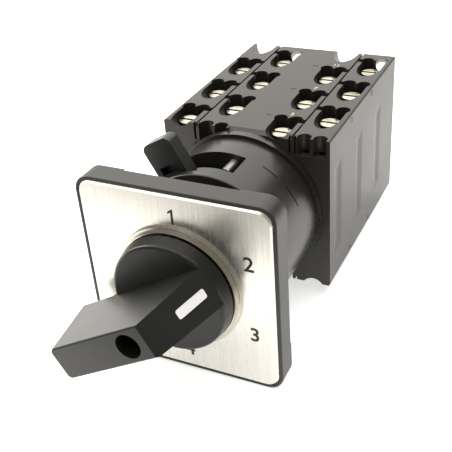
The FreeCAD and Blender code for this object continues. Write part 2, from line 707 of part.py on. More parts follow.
keep(fuse("lever_all", lever_body, *teeth), "locking_lever")

# Two headless clamp screws, threaded through the base towards the panel.
clamps = []
for number, sign in enumerate(("", "-")):
    spot = (f"{sign}clamp_circle * {math.sin(angle):.9f}",
            f"{sign}clamp_circle * {math.cos(angle):.9f}")
    pin = rod(f"clamp_pin_{number}", "clamp_radius", "base_start - clamp_reach",
              "base_start - clamp_reach + clamp_length", across=spot)
    drive = rod(f"clamp_drive_{number}", "clamp_radius / 2",
                "base_start - clamp_reach + clamp_length - 1.2",
                "base_start - clamp_reach + clamp_length + 1", across=spot)
    clamps.append(cut(f"clamp_{number}", pin, drive))
keep(group("clamps_all", *clamps), "clamp_screws")

# Drive shaft: square front, round journal with a collar, long square and rear journal.
square_half = "shaft_square / 2"
shaft_parts = [
    box("shaft_nose", (f"-{square_half}", square_half), ("socket_front", "pocket_floor"),
        (f"-{square_half}", square_half)),
    rod("shaft_round", "shaft_radius", "pocket_floor", "index_start"),
    rod("shaft_collet", "collet_radius", "collet_back - collet_depth", "collet_back"),
    box("shaft_long", (f"-{square_half}", square_half), ("index_start", "last_hub_end"),
        (f"-{square_half}", square_half)),
    rod("shaft_end", "shaft_tail", "last_hub_end", "block_end - end_skin - tail_gap"),
]
shaft_hole = rod("shaft_tap", "shank_radius + shank_fit", "socket_front - 1",
                 "socket_front + handle_grip + 1.2")
keep(cut("shaft_cut", fuse("shaft_blank", *shaft_parts), shaft_hole), "drive_shaft")

# Lever handle: disc, tapered bar, gusset under the blunt end, hub and socket.
rest_turn = Rotation(Vector(0, 1, 0), value("rest_position") - 90)
bar = doc.addObject("Part::Wedge", "bar_wedge")
for prop, text in (("Ymin", "bar_front"), ("Ymax", "bar_back"),
                   ("Xmin", "-bar_tail"), ("Xmax", "bar_nose"),
                   ("X2min", "-bar_tail - tail_flare"), ("X2max", "bar_nose + nose_flare"),
                   ("Zmin", "-bar_half"), ("Zmax", "bar_half"),
                   ("Z2min", "-bar_half - bar_flare"), ("Z2max", "bar_half + bar_flare")):
    tie(bar, prop, text)
front_y = value("bar_front")
nose_x = value("bar_nose")
tail_x = -value("bar_tail")
bar_bevel = soften("Part::Chamfer", "bar_bevel", bar, (
    value("bar_chamfer"),
    lambda e: abs(middle(e).y - front_y) < 1e-6 and abs(middle(e).x - nose_x) < 1e-6))
bar_ends = soften("Part::Fillet", "bar_ends", bar_bevel, (
    value("tail_round"),
    lambda e: middle(e).x < tail_x and abs(middle(e).z) > 1
    and abs(middle(e).y - (front_y + value("bar_back")) / 2) < 1))
bar_soft = soften("Part::Fillet", "bar_soft", bar_ends, (
    value("bar_round"),
    lambda e: abs(middle(e).y - front_y) < 1e-6 and middle(e).x < nose_x - 1.5))
gusset = doc.addObject("Part::Wedge", "gusset")
for prop, text in (("Ymin", "disc_front - gusset_rise"), ("Ymax", "disc_front + gusset_drop"),
                   ("Xmin", "-gusset_top"), ("Xmax", "-disc_radius + 1.5"),
                   ("X2min", "-gusset_foot"), ("X2max", "-disc_radius + 1.5"),
                   ("Zmin", "-gusset_half"), ("Zmax", "gusset_half"),
                   ("Z2min", "-gusset_half"), ("Z2max", "gusset_half")):
    tie(gusset, prop, text)
disc = turned("disc_turned", [
    ("0", "disc_front"), ("disc_radius - disc_taper", "disc_front"),
    ("disc_radius", "disc_back"), ("hub_radius", "disc_back"), ("hub_radius", "hub_back"),
    ("0", "hub_back"),
])
disc_soft = soften("Part::Fillet", "disc_soft", disc, (
    value("disc_round"),
    lambda e: abs(middle(e).y - value("disc_front")) < 1e-6
    and e.Curve.TypeId == "Part::GeomCircle"))
slant = math.atan2(value("nose_flare"), value("bar_depth") + value("bar_sink"))
lean = Rotation(Vector(0, 0, 1), -math.degrees(slant))
along = Vector(math.sin(slant), math.cos(slant), 0)
outward = Vector(math.cos(slant), -math.sin(slant), 0)
corner = Vector(nose_x, front_y, 0)


def on_slant(name, gap, proud):
    """Make a flat bar let into the slanted face, longer all round by a gap."""
    item = doc.addObject("Part::Box", name + "_raw")
    tie(item, "Length", f"line_depth + {proud}")
    tie(item, "Width", f"line_length + 2 * {gap}")
    tie(item, "Height", f"2 * (line_half + {gap})")
    start = corner + along * (value("line_start") - gap) - outward * value("line_depth")
    start.z = -value("line_half") - gap
    item.Placement = Placement(start, lean)
    return soften("Part::Fillet", name, item, (
        value("line_round") + gap, lambda e: upright(e, outward)))


pocket = on_slant("line_pocket", value("line_gap"), 1)
bar_lined = cut("bar_lined", fuse("bar_all", bar_soft, gusset), pocket)
blank = fuse("handle_blank", bar_lined, disc_soft)
wells = [
    rod("screw_pit", "screw_well", "bar_front - 1", "well_floor"),
    rod("screw_pass", "shank_radius + shank_pass", "well_floor - 1", "socket_front + 1"),
    box("socket", (f"-{square_half} - square_fit", f"{square_half} + square_fit"),
        ("socket_front", "hub_back + 1"),
        (f"-{square_half} - square_fit", f"{square_half} + square_fit")),
]
handle = cut("handle_cut", stamp("handle_set", blank, turn=rest_turn), *wells)
keep(handle, "handle")

# Indicator inlay, flush with the slanted face.
keep(stamp("line_set", on_slant("line_inlay", 0.0, 0), turn=rest_turn), "indicator_insert")


def slotted(name, screw, low, high, radius, along="y"):
    """Cut a screwdriver slot across the end of a screw between two heights."""
    reach = (f"-({radius}) - 1", f"({radius}) + 1")
    width = ("-slot_width / 2", "slot_width / 2")
    if along == "y":
        slot = box(name + "_slot", width, (low, high), reach)
    else:
        slot = box(name + "_slot", reach, width, (low, high))
    return cut(name + "_cut", screw, slot)


# Handle screw through the knob's web into the shaft.
keep(slotted("handle_screw", turned("handle_screw_turned", [
    ("0", "well_floor - head_depth"), ("head_radius", "well_floor - head_depth"),
    ("head_radius", "well_floor"), ("shank_radius", "well_floor"),
    ("shank_radius", "socket_front + handle_grip"), ("0", "socket_front + handle_grip"),
]), "well_floor - head_depth - 1", "well_floor - head_depth + slot_depth", "head_radius"),
     "handle_screw")


def bore_square(name, low, high):
    """Make the square hole that fits the shaft's long square."""
    side = (f"-{square_half} - square_fit", f"{square_half} + square_fit")
    return box(name, side, (f"({low}) - 1", f"({high}) + 1"), side)


# Star wheel with six notches, one on each side of the two leaf springs.
star = rod("star_disc", "star_radius", "star_front", "star_back")
notches = []
for number in range(6):
    angle = math.radians(90 + 60 * number)
    notches.append(rod(f"notch_{number}", "notch_radius", "star_front - 1", "star_back + 1",
                       across=(f"notch_circle * {math.sin(angle):.9f}",
                               f"notch_circle * {math.cos(angle):.9f}")))
keep(cut("star_cut", star, group("notches", *notches),
         bore_square("star_bore", "star_front", "star_back")), "star_wheel")

# Index leaf springs: a strip on each side with a rounded nose in the star's notch.
leaf_span = ("star_front + (star_depth - leaf_width) / 2",
             "star_front + (star_depth + leaf_width) / 2")
leaf = box("leaf_strip", ("notch_circle - leaf_thick", "notch_circle"), leaf_span,
           ("-leaf_half", "leaf_half"))
nose = rod("leaf_nose", "nose_radius", *leaf_span, across=("notch_circle", "0"))
inside = rod("leaf_inside", "nose_radius - leaf_thick", "index_start", "block_start",
             across=("notch_circle", "0"))
behind = box("leaf_behind", ("notch_circle", "notch_circle + nose_radius + 1"),
             ("index_start", "block_start"), ("-leaf_half - 1", "leaf_half + 1"))
spring = cut("leaf_spring", fuse("leaf_whole", leaf, nose), inside, behind)
keep(group("springs", spring, stamp("leaf_opposite", spring, turn=OVER_Y)), "index_springs")

# Stop disc: its lug meets the post just past the first and last positions.
lug_start = value("stop_middle") - value("stop_sweep") / 2
stop_blank = fuse(
    "stop_blank", rod("stop_plain", "stop_radius", "star_back", "stop_back"),
    sector("stop_lug", "stop_reach", "star_back", "stop_back", lug_start, "stop_sweep"),
    rod("stop_hub", "cam_hub", "stop_back", "block_start + cam_front"))
keep(cut("stop_cut", stop_blank,
         bore_square("stop_bore", "star_back", "block_start + cam_front")), "stop_disc")

# Terminal opening, drawn about the screw: well, rear box, wire entries and groove.
# Its origin is on the block's top above the screw, z down into the block.
well_parts = [
    rod("well_round", "well_half", "-(block_top - strip_height) + strip_thick / 2", "2",
        along="z"),
    box("well_rear", ("-well_half", "well_half"), ("0", "lobe_back"),
        ("-(block_top - strip_height) + strip_thick / 2", "2")),
    rod("well_screw", "screw_radius + screw_room",
        "-(block_top - strip_top) - screw_length - 0.2", "0",
        along="z"),
]
lobes = [rod(f"lobe_{number}", "lobe_radius",
             "-(block_top - strip_height) + strip_thick / 2", "2", along="z",
             across=(f"{sign}lobe_offset", "lobe_back"))
         for number, sign in enumerate(("-", ""))]
slope = math.radians(value("groove_slope"))
groove_rod = doc.addObject("Part::Cylinder", "groove_rod")
tie(groove_rod, "Radius", "well_half")
tie(groove_rod, "Height", "11")
tip = value("well_half") / math.sin(slope) - value("well_front")
groove_at = Vector(0, tip, 0) - Vector(0, math.cos(slope), -math.sin(slope)) * 8
groove_rod.Placement = Placement(groove_at, Rotation(Vector(0, 0, 1),
                                                    Vector(0, math.cos(slope), -math.sin(slope))))
groove = cut("groove_open", groove_rod,
             box("groove_above", ("-20", "20"), ("-30", "30"), ("2", "30")))
opening = fuse("opening", *well_parts, *lobes, groove)
entries_only = fuse("entries_only", *lobes)


def column_spots(chamber):
    """List the columns of a chamber's openings on the top: odd or even pattern."""
    if chamber % 2:
        return ("-far_column", "near_column")
    return ("-near_column", "far_column")


def opening_set(chamber, source):
    """Set a chamber's openings on the top and, turned over, on the underside."""
    top = []
    for number, column in enumerate(column_spots(chamber)):
        top.append(stamp(f"opening_{chamber}_{number}", source, column,
                         f"block_start + {chamber - 1} * chamber_pitch + contact_middle",
                         "block_top"))
    upper = group(f"openings_{chamber}", *top)
    return [upper, stamp(f"openings_under_{chamber}", upper, turn=OVER_Y)]


openings = {0: opening_set(0, entries_only), CHAMBERS + 1: opening_set(CHAMBERS + 1, groove)}
for chamber in range(1, CHAMBERS + 1):
    openings[chamber] = opening_set(chamber, opening)

# Joint lines and the cross slots that run into them.
marks = []
for number, sign in enumerate(("", "-")):
    middle_x = f"{sign}seam_column"
    marks.append(box(f"seam_{number}", (f"{middle_x} - seam_width / 2",
                                        f"{middle_x} + seam_width / 2"),
                     ("block_start - 1", "block_end + 1"),
                     ("block_top - seam_depth", "block_top + 1")))
for chamber in range(1, CHAMBERS + 1):
    start = f"block_start + {chamber - 1} * chamber_pitch + contact_middle + link_start"
    spans = (("-far_column", "-seam_column"), ("near_column", "seam_column"))
    if chamber % 2 == 0:
        spans = (("-seam_column", "-near_column"), ("seam_column", "far_column"))
    for number, span in enumerate(spans):
        marks.append(box(f"link_{chamber}_{number}", span, (start, f"{start} + link_length"),
                         ("block_top - seam_depth", "block_top + 1")))
marks_top = fuse("marks_top", *marks)
marks_all = group("marks_all", marks_top, stamp("marks_under", marks_top, turn=OVER_Y))

# Rows of the tie screws, and the sloping wire entries that leave through the back.
tie_holes = group("tie_holes", *[
    rod(f"tie_hole_{number}", "shank_radius + shank_pass", "block_start - 1", "block_end + 1",
        across=("0", f"{sign}tie_height"))
    for number, sign in enumerate(("", "-"))])
tilt = math.radians(value("lobe_tilt"))
exits = []
for number, column in enumerate(column_spots(CHAMBERS)):
    exit_rod = doc.addObject("Part::Cylinder", f"exit_{number}")
    tie(exit_rod, "Radius", "lobe_radius - 0.15")
    tie(exit_rod, "Height", "end_depth * 2")
    exit_rod.Placement = Placement(Vector(), Rotation(
        Vector(0, 0, 1), Vector(-0.25, math.cos(tilt), -math.sin(tilt))))
    exits.append(move(exit_rod, f"{column} + lobe_offset",
                      f"block_start + {CHAMBERS - 1} * chamber_pitch + contact_middle + lobe_back",
                      "block_top - 0.6"))
exits_top = group("exits_top", *exits)
exits_all = group("exits_all", exits_top, stamp("exits_under", exits_top, turn=OVER_Y))


def slab(name, low, high):
    """Make one layer of the block with its rounded long edges."""
    raw = box(name + "_raw", ("-block_side", "block_side"), (low, high),
              ("-block_top", "block_top"))
    return soften("Part::Fillet", name + "_slab", raw,
                  (value("block_edge"), lambda e: upright(e, BACK)))


# Front plate of the block: hub hole, snap slots, a small dot and the bevelled top edge.
snaps = []
for number, side in enumerate(("-", "")):
    for inner_slot in (0, 1):
        place = f"{side}(seam_column + seam_width / 2 - snap_space * {inner_slot} + 0.35)"
        snaps.append(box(f"snap_{number}_{inner_slot}",
                         (f"{place} - snap_width / 2", f"{place} + snap_width / 2"),
                         ("block_start - 1", "block_start + snap_depth"),
                         ("block_top - snap_length", "block_top + 1")))
dot = rod("snap_dot", "0.5", "block_start - 1", "block_start + snap_depth / 2",
          across=("-seam_column - 0.6", "block_top - snap_length - 1.3"))
bevel = doc.addObject("Part::Wedge", "front_bevel_wedge")
for prop, text in (("Xmin", "-near_column / 2"), ("Xmax", "seam_column - 0.3"),
                   ("X2min", "-near_column / 2"), ("X2max", "seam_column - 0.3"),
                   ("Ymin", "block_start - 0.01"), ("Ymax", "block_start + front_bevel"),
                   ("Zmin", "block_top - front_bevel * 0.7"), ("Zmax", "block_top + 0.5"),
                   ("Z2min", "block_top"), ("Z2max", "block_top + 0.5")):
    tie(bevel, prop, text)
front_slab = slab("front_plate", "block_start", "front_back")
front_cut = cut("front_plate_wells", front_slab,
                group("front_openings", *openings[0], *openings[1]))
keep(cut("front_plate_cut", cut("front_plate_marked", front_cut, marks_all), tie_holes,
         rod("front_plate_hole", "cam_hub + hub_fit / 2", "block_start - 1", "front_back + 1"),
         fuse("snaps", *snaps), dot, bevel), "front_plate")

# Room inside one chamber, open to the front: cam room, guides, bridge rooms, strip slots.
front_open = "-1"
room_parts = [
    rod("room_cam", "cavity_radius", front_open, "floor_front"),
    rod("room_hub", "cam_hub + hub_fit", front_open, "chamber_pitch + 1"),
    box("room_guide", ("-spring_end", "spring_end"), (front_open, "floor_front"),
        ("-plunger_half - plunger_gap", "plunger_half + plunger_gap")),
]
quarter = [
    box("room_leg", ("strip_leg - strip_thick - strip_gap", "strip_leg + strip_gap"),
        (front_open, "floor_front"), ("strip_foot - strip_gap * 3", "strip_height")),
    box("room_strip", ("near_column - strip_over - strip_gap", "far_column + strip_over + strip_gap"),
        (front_open, "floor_front"), ("strip_height - strip_gap", "strip_top + strip_gap")),
    box("room_bridge", ("strip_leg + strip_gap", "bridge_back + cam_travel + bridge_gap"),
        (front_open, "floor_front"), ("0", "bridge_half + bridge_gap")),
    box("room_spring", ("bridge_back", "spring_end"), (front_open, "floor_front"),
        ("0", "coil_radius + coil_wire + coil_room")),
]
quarter_room = fuse("quarter_room", *quarter)
upper_room = fuse("upper_room", quarter_room,
                  stamp("quarter_room_left", quarter_room,
                        y="chamber_pitch - chamber_floor - 1", turn=OVER_Z))
room = fuse("room", *room_parts, upper_room,
            stamp("lower_room", upper_room, turn=OVER_Y))

for chamber in range(1, CHAMBERS + 1):
    start = f"block_start + {chamber - 1} * chamber_pitch"
    low = "front_back" if chamber == 1 else start
    layer = slab(f"chamber_{chamber}", low, f"{start} + chamber_pitch")
    near = [part for other in (chamber - 1, chamber, chamber + 1) for part in openings[other]]
    open_layer = cut(f"chamber_open_{chamber}", layer, group(f"chamber_wells_{chamber}", *near))
    marked = cut(f"chamber_marked_{chamber}", open_layer, marks_all)
    tools = [tie_holes, stamp(f"room_{chamber}", room, y=start)]
    if chamber == CHAMBERS:
        tools.append(exits_all)
    if chamber % 2:
        recess = [box(f"side_{chamber}_{number}", pair,
                      (f"{start} + chamber_pitch - side_length", f"{start} + chamber_pitch"),
                      ("-side_half", "side_half"))
                  for number, pair in enumerate((("block_side - side_recess", "block_side + 1"),
                                                 ("-block_side - 1", "-block_side + side_recess")))]
        tools += recess
    keep(cut(f"chamber_cut_{chamber}", marked, *tools), f"chamber_{chamber}")

# End plate: blind hub room, rear journal, tie screw heads.
end_slab = slab("end_plate", "end_start", "block_end")
end_cut = cut("end_plate_wells", end_slab,
              group("end_openings", *openings[CHAMBERS], *openings[CHAMBERS + 1]))
heads = group("head_recesses", *[
    rod(f"head_recess_{number}", "tie_head + 0.4", "block_end - tie_recess", "block_end + 1",
        across=("0", f"{sign}tie_height"))
    for number, sign in enumerate(("", "-"))])
keep(cut("end_plate_cut", cut("end_plate_marked", end_cut, marks_all), tie_holes, heads,
         exits_all,
         rod("end_hub_room", "cam_hub + hub_fit", "end_start - 1", "last_hub_end + tail_gap"),
         rod("end_bore", "shaft_tail + shaft_fit", "end_start - 1", "block_end - end_skin")),
     "end_plate")

# Tie screws from the back of the end plate into the adapter base.
tie_screw = slotted("tie_screw", turned("tie_screw_turned", [
    ("0", "block_start - tie_grip"), ("shank_radius", "block_start - tie_grip"),
    ("shank_radius", "block_end - tie_recess"), ("tie_head", "block_end - tie_recess"),
    ("tie_head", "block_end - 0.2"), ("0", "block_end - 0.2"),
]), "block_end - 0.2 - slot_depth", "block_end + 1", "tie_head")
keep(group("tie_screws_all", stamp("tie_upper", tie_screw, z="tie_height"),
           stamp("tie_lower", tie_screw, z="-tie_height")), "tie_screws")

# Cams: a heart that rises evenly over half a turn, with the hub behind it.
rise = value("cam_travel") / 180
flanks = []
for sign in (1, -1):
    points = []
    for step in range(0, 181, 6):
        angle = math.radians(sign * step)
        radius = value("cam_low") + rise * step
        points.append(Vector(radius * math.sin(angle), 0, radius * math.cos(angle)))
    curve = Part.BSplineCurve()
    curve.interpolate(points)
    flanks.append(curve.toShape())
outline = Part.Wire([flanks[0], flanks[1].reversed()])
heart = doc.addObject("Part::Feature", "heart")
heart.Shape = Part.Face(outline).extrude(Vector(0, value("cam_depth"), 0))
cams = {}
for chamber in range(1, CHAMBERS + 1):
    start = f"block_start + {chamber - 1} * chamber_pitch"
    clock = value("rest_position") + (90 if chamber % 2 else 270)
    lobe = stamp(f"heart_{chamber}", heart, y=f"{start} + cam_front",
                 turn=Rotation(Vector(0, 1, 0), clock))
    hub_end = f"{start} + chamber_pitch + cam_front"
    hub = rod(f"cam_hub_{chamber}", "cam_hub", f"{start} + floor_front - cam_gap", hub_end)
    keep(cut(f"cam_cut_{chamber}", fuse(f"cam_blank_{chamber}", lobe, hub),
             bore_square(f"cam_bore_{chamber}", f"{start} + cam_front", hub_end)),
         f"cam_{chamber}")

# Fixed contact strips: one reaches the inner column, the other the outer one.
half_strip = ("-strip_width / 2", "strip_width / 2")
leg_span = ("strip_leg - strip_thick", "strip_leg")
strips = {}
for label, column, span in (
        ("near", "near_column", ("near_column - strip_over", "strip_leg")),
        ("far", "far_column", ("strip_leg - strip_thick", "far_column + strip_over"))):
    flat = box(f"{label}_flat", span, half_strip, ("strip_height", "strip_top"))
    leg = box(f"{label}_leg", leg_span, half_strip, ("strip_foot", "strip_top"))
    hole = rod(f"{label}_hole", "screw_radius + screw_fit", "strip_height - 1",
               "strip_top + 1", along="z", across=(column, "0"))
    strips[label] = cut(f"{label}_strip", fuse(f"{label}_blank", flat, leg), hole)
clamp_box = box("clamp_box", ("-clamp_half", "clamp_half"),
                ("-strip_width / 2", "strip_width / 2"), ("strip_top", "strip_top + clamp_plate"))
clamp_soft = soften("Part::Fillet", "clamp_soft", clamp_box, (
    value("bar_round"), lambda e: upright(e, UP)))
clamp_one = cut("clamp_one", clamp_soft,
                rod("clamp_hole", "screw_radius + screw_fit", "strip_top - 1",
                    "strip_top + clamp_plate + 1", along="z"))
clamp_top = "strip_top + clamp_plate"
screw_one = slotted("terminal_screw", turned("terminal_screw_turned", [
    ("0", "strip_top - screw_length"), ("screw_radius", "strip_top - screw_length"),
    ("screw_radius", clamp_top), ("screw_head", clamp_top),
    ("screw_head", f"{clamp_top} + screw_head_depth"), ("0", f"{clamp_top} + screw_head_depth"),
], "XZ_Plane"), f"{clamp_top} + screw_head_depth - slot_depth",
    f"{clamp_top} + screw_head_depth + 1", "screw_head", "z")


def terminal_set(name, right, left):
    """Set one piece on the right and one on the left, on both faces of the block."""
    upper = group(name + "_upper", right, left)
    return group(name + "_both", upper, stamp(name + "_under", upper, turn=OVER_Y))


sets = {}
for parity, (right, left) in ((1, ("near", "far")), (0, ("far", "near"))):
    sets["strip", parity] = terminal_set(
        f"strips_{parity}", strips[right],
        stamp(f"strip_left_{parity}", strips[left], turn=OVER_Z))
    for kind, source in (("clamp", clamp_one), ("screw", screw_one)):
        sets[kind, parity] = terminal_set(
            f"{kind}s_{parity}",
            stamp(f"{kind}_right_{parity}", source, x=f"{right}_column"),
            stamp(f"{kind}_left_{parity}", source, x=f"-{left}_column"))
for kind, label in (("strip", "fixed_contacts"), ("clamp", "terminal_clamps"),
                    ("screw", "terminal_screws")):
    rows = [stamp(f"{kind}_row_{chamber}", sets[kind, chamber % 2],
                  y=f"block_start + {chamber - 1} * chamber_pitch + contact_middle")
            for chamber in range(1, CHAMBERS + 1)]
    keep(group(label + "_all", *rows), label)

# Plunger with its nose on the cam, drawn for the right side with the contact made.
nose_at = "cam_low + plunger_tip + plunger_half"
plunger = fuse(
    "plunger",
    rod("plunger_nose", "plunger_half", "-plunger_width / 2", "plunger_width / 2",
        across=(nose_at, "0")),
    box("plunger_body", (nose_at, "plunger_end"), ("-plunger_width / 2", "plunger_width / 2"),
        ("-plunger_half", "plunger_half")),
    rod("plunger_nib", "nib_radius", "plunger_end", "bridge_back + nib_length", along="x"))
bridge_bar = box("bridge_bar", ("plunger_end", "bridge_back"),
                 ("-bridge_width / 2", "bridge_width / 2"), ("-bridge_half", "bridge_half"))
tips = [rod(f"contact_tip_{number}", "tip_radius", "tip_front", "plunger_end", along="x",
            across=("0", f"{sign}tip_height")) for number, sign in enumerate(("", "-"))]
bridge = cut("bridge", fuse("bridge_blank", bridge_bar, *tips),
             rod("bridge_hole", "nib_radius + plunger_gap", "plunger_end - 1",
                 "bridge_back + 1", along="x"))

# Coil springs, at the length that they have with the switch as shown. The thin wire has
# eight flats, which a mesh follows where it would cut a round wire's section short.
coils = {}
for lift in ("lift_low", "lift_high"):
    helix = doc.addObject("Part::Helix", "helix_" + lift)
    length = f"(spring_end - bridge_back - {lift} - 2 * coil_wire - 2 * coil_end)"
    tie(helix, "Height", length)
    tie(helix, "Pitch", f"{length} / coil_turns")
    tie(helix, "Radius", "coil_radius")
    ring = doc.addObject("Part::RegularPolygon", "ring_" + lift)
    ring.Polygon = 8
    tie(ring, "Circumradius", "coil_wire")
    ring.Placement = Placement(Vector(value("coil_radius"), 0, 0), Rotation(EAST, 90))
    tie(ring, "Placement.Base.x", "coil_radius")
    wire = doc.addObject("Part::Sweep", "coil_" + lift)
    wire.Sections = [ring]
    wire.Spine = (helix, [])
    wire.Solid = True
    wire.Frenet = True
    coils[lift] = stamp("coil_set_" + lift, wire,
                        x=f"bridge_back + {lift} + coil_wire + coil_end", turn=ALONG_X)

all_coils = []
for chamber in range(1, CHAMBERS + 1):
    centre = f"block_start + {chamber - 1} * chamber_pitch + contact_middle"
    odd = chamber % 2
    for side, turn, lift in (("right", None, "lift_low" if odd else "lift_high"),
                             ("left", OVER_Y, "lift_high" if odd else "lift_low")):
        shift = lift if side == "right" else "-" + lift
        label = f"{chamber}_{side}"
        keep(stamp(f"plunger_set_{label}", plunger, x=shift, y=centre, turn=turn),
             f"plunger_{label}")
        keep(stamp(f"bridge_set_{label}", bridge, x=shift, y=centre, turn=turn),
             f"bridge_{label}")
        all_coils.append(stamp(f"coil_{label}", coils[lift], y=centre, turn=turn))
keep(group("coils_all", *all_coils), "contact_springs")

doc.recompute()
for item in doc.Objects:
    if "Invalid" in item.State or "Error" in item.State:
        raise RuntimeError(f"{item.Name} failed: {item.State}")
os.makedirs("parts", exist_ok=True)
for item in PIECES:
    if item.Shape.isNull() or not item.Shape.isValid() or not item.Shape.Solids:
        raise RuntimeError(f"{item.Label} has no valid solid")
for item in PIECES:
    item.Shape.exportStep(f"parts/{item.Label}.step")
    print(item.Label, len(item.Shape.Solids), round(item.Shape.Volume, 2))
print(len(PIECES), "pieces")
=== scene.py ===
"""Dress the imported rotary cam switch: finishes, printed figures, mould marks and studio."""

from __future__ import annotations

import logging
import math
from dataclasses import dataclass, field
from enum import Enum
from typing import ClassVar

import bmesh
import bpy
from mathutils import Euler, Matrix, Vector

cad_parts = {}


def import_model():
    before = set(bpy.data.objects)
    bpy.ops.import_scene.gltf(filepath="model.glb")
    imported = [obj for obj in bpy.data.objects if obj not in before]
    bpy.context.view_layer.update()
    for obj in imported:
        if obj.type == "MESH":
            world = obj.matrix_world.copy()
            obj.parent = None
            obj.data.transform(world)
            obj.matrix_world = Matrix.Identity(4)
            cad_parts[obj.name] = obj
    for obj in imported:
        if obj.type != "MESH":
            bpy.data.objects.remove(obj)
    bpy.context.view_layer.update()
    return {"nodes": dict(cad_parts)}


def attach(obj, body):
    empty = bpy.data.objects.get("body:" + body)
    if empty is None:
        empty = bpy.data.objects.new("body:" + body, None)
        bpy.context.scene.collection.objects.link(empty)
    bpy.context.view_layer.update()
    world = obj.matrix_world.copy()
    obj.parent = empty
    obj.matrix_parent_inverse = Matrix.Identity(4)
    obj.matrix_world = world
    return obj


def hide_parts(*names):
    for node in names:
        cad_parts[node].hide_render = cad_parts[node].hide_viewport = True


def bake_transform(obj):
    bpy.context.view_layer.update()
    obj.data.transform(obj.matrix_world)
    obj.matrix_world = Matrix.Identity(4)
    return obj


LOG = logging.getLogger("cam_switch")
MM = 0.001
CAPITAL_SHARE = 0.72
Colour = tuple[float, float, float, float]


def grey(level: float) -> Colour:
    """Return a neutral grey."""
    return (level, level, level, 1.0)


class Grain(Enum):
    """Name the ways in which a metal surface was finished."""

    BRUSHED_UPRIGHT = "brushed_upright"
    BRUSHED_LONG = "brushed_long"
    TURNED = "turned"
    STAMPED = "stamped"


class Hand(Enum):
    """Name the two sides of the shaft, with the sign that X has there."""

    RIGHT = 1
    LEFT = -1

    def word(self) -> str:
        """Return the side as the names of nodes and bodies have it."""
        return self.name.lower()


class Sketchpad:
    """Lay out shader nodes in a tree with short calls."""

    # Sockets of the Mix node while it mixes colours.
    MIX_INPUTS = (0, 6, 7)
    MIX_OUTPUT = 2

    def __init__(self, tree: bpy.types.NodeTree) -> None:
        """Keep the tree that the nodes go into."""
        self.tree = tree

    def put(self, kind: str, **settings: object) -> bpy.types.Node:
        """Add a node.

        Args:
            kind: The node's type name without its ShaderNode prefix.
            settings: Properties of the node to set.

        Returns:
            The new node.
        """
        node = self.tree.nodes.new(kind if kind.startswith("Node") else "ShaderNode" + kind)
        for name, setting in settings.items():
            setattr(node, name, setting)
        return node

    def join(self, source: bpy.types.NodeSocket, target: bpy.types.NodeSocket) -> None:
        """Link one socket to another."""
        self.tree.links.new(source, target)

    def math(self, operation: str, first: object, second: object = 0.0,
             clamp: bool = False) -> bpy.types.NodeSocket:
        """Add a math node.

        Args:
            operation: The operation's name.
            first: A number or a socket.
            second: A number or a socket.
            clamp: Whether the result stays between 0 and 1.

        Returns:
            The node's output.
        """
        node = self.put("Math", operation=operation, use_clamp=clamp)
        for index, entry in enumerate((first, second)):
            if isinstance(entry, bpy.types.NodeSocket):
                self.join(entry, node.inputs[index])
            else:
                node.inputs[index].default_value = entry
        return node.outputs[0]

    def ramp(self, source: bpy.types.NodeSocket, low: float, high: float,
             start: float = 0.0, end: float = 1.0) -> bpy.types.NodeSocket:
        """Map a range of values to another.

        Args:
            source: The value.
            low: The value that gives start.
            high: The value that gives end.
            start: The result at low.
            end: The result at high.

        Returns:
            The mapped value.
        """
        node = self.put("MapRange", clamp=True)
        self.join(source, node.inputs["Value"])
        for name, number in (("From Min", low), ("From Max", high),
                             ("To Min", start), ("To Max", end)):
            node.inputs[name].default_value = number
        return node.outputs["Result"]

    def blend(self, amount: object, first: object, second: object,
              mode: str = "MIX") -> bpy.types.NodeSocket:
        """Mix two colours.

        Args:
            amount: The share of the second colour, a number or a socket.
            first: A colour or a socket.
            second: A colour or a socket.
            mode: The blend mode.

        Returns:
            The mixed colour.
        """
        node = self.put("Mix", data_type="RGBA", blend_type=mode)
        for index, entry in zip(self.MIX_INPUTS, (amount, first, second)):
            if isinstance(entry, bpy.types.NodeSocket):
                self.join(entry, node.inputs[index])
            else:
                node.inputs[index].default_value = entry
        return node.outputs[self.MIX_OUTPUT]

    def noise(self, vector: bpy.types.NodeSocket, scale: float, detail: float = 3.0,
              rough: float = 0.55) -> bpy.types.NodeSocket:
        """Add a noise texture.

        Args:
            vector: Where to read the noise.
            scale: Its scale, in cycles per metre.
            detail: Its octaves.
            rough: How strong the finer octaves are.

        Returns:
            The noise value.
        """
        node = self.put("TexNoise")
        self.join(vector, node.inputs["Vector"])
        node.inputs["Scale"].default_value = scale
        node.inputs["Detail"].default_value = detail
        node.inputs["Roughness"].default_value = rough
        return node.outputs["Fac"]


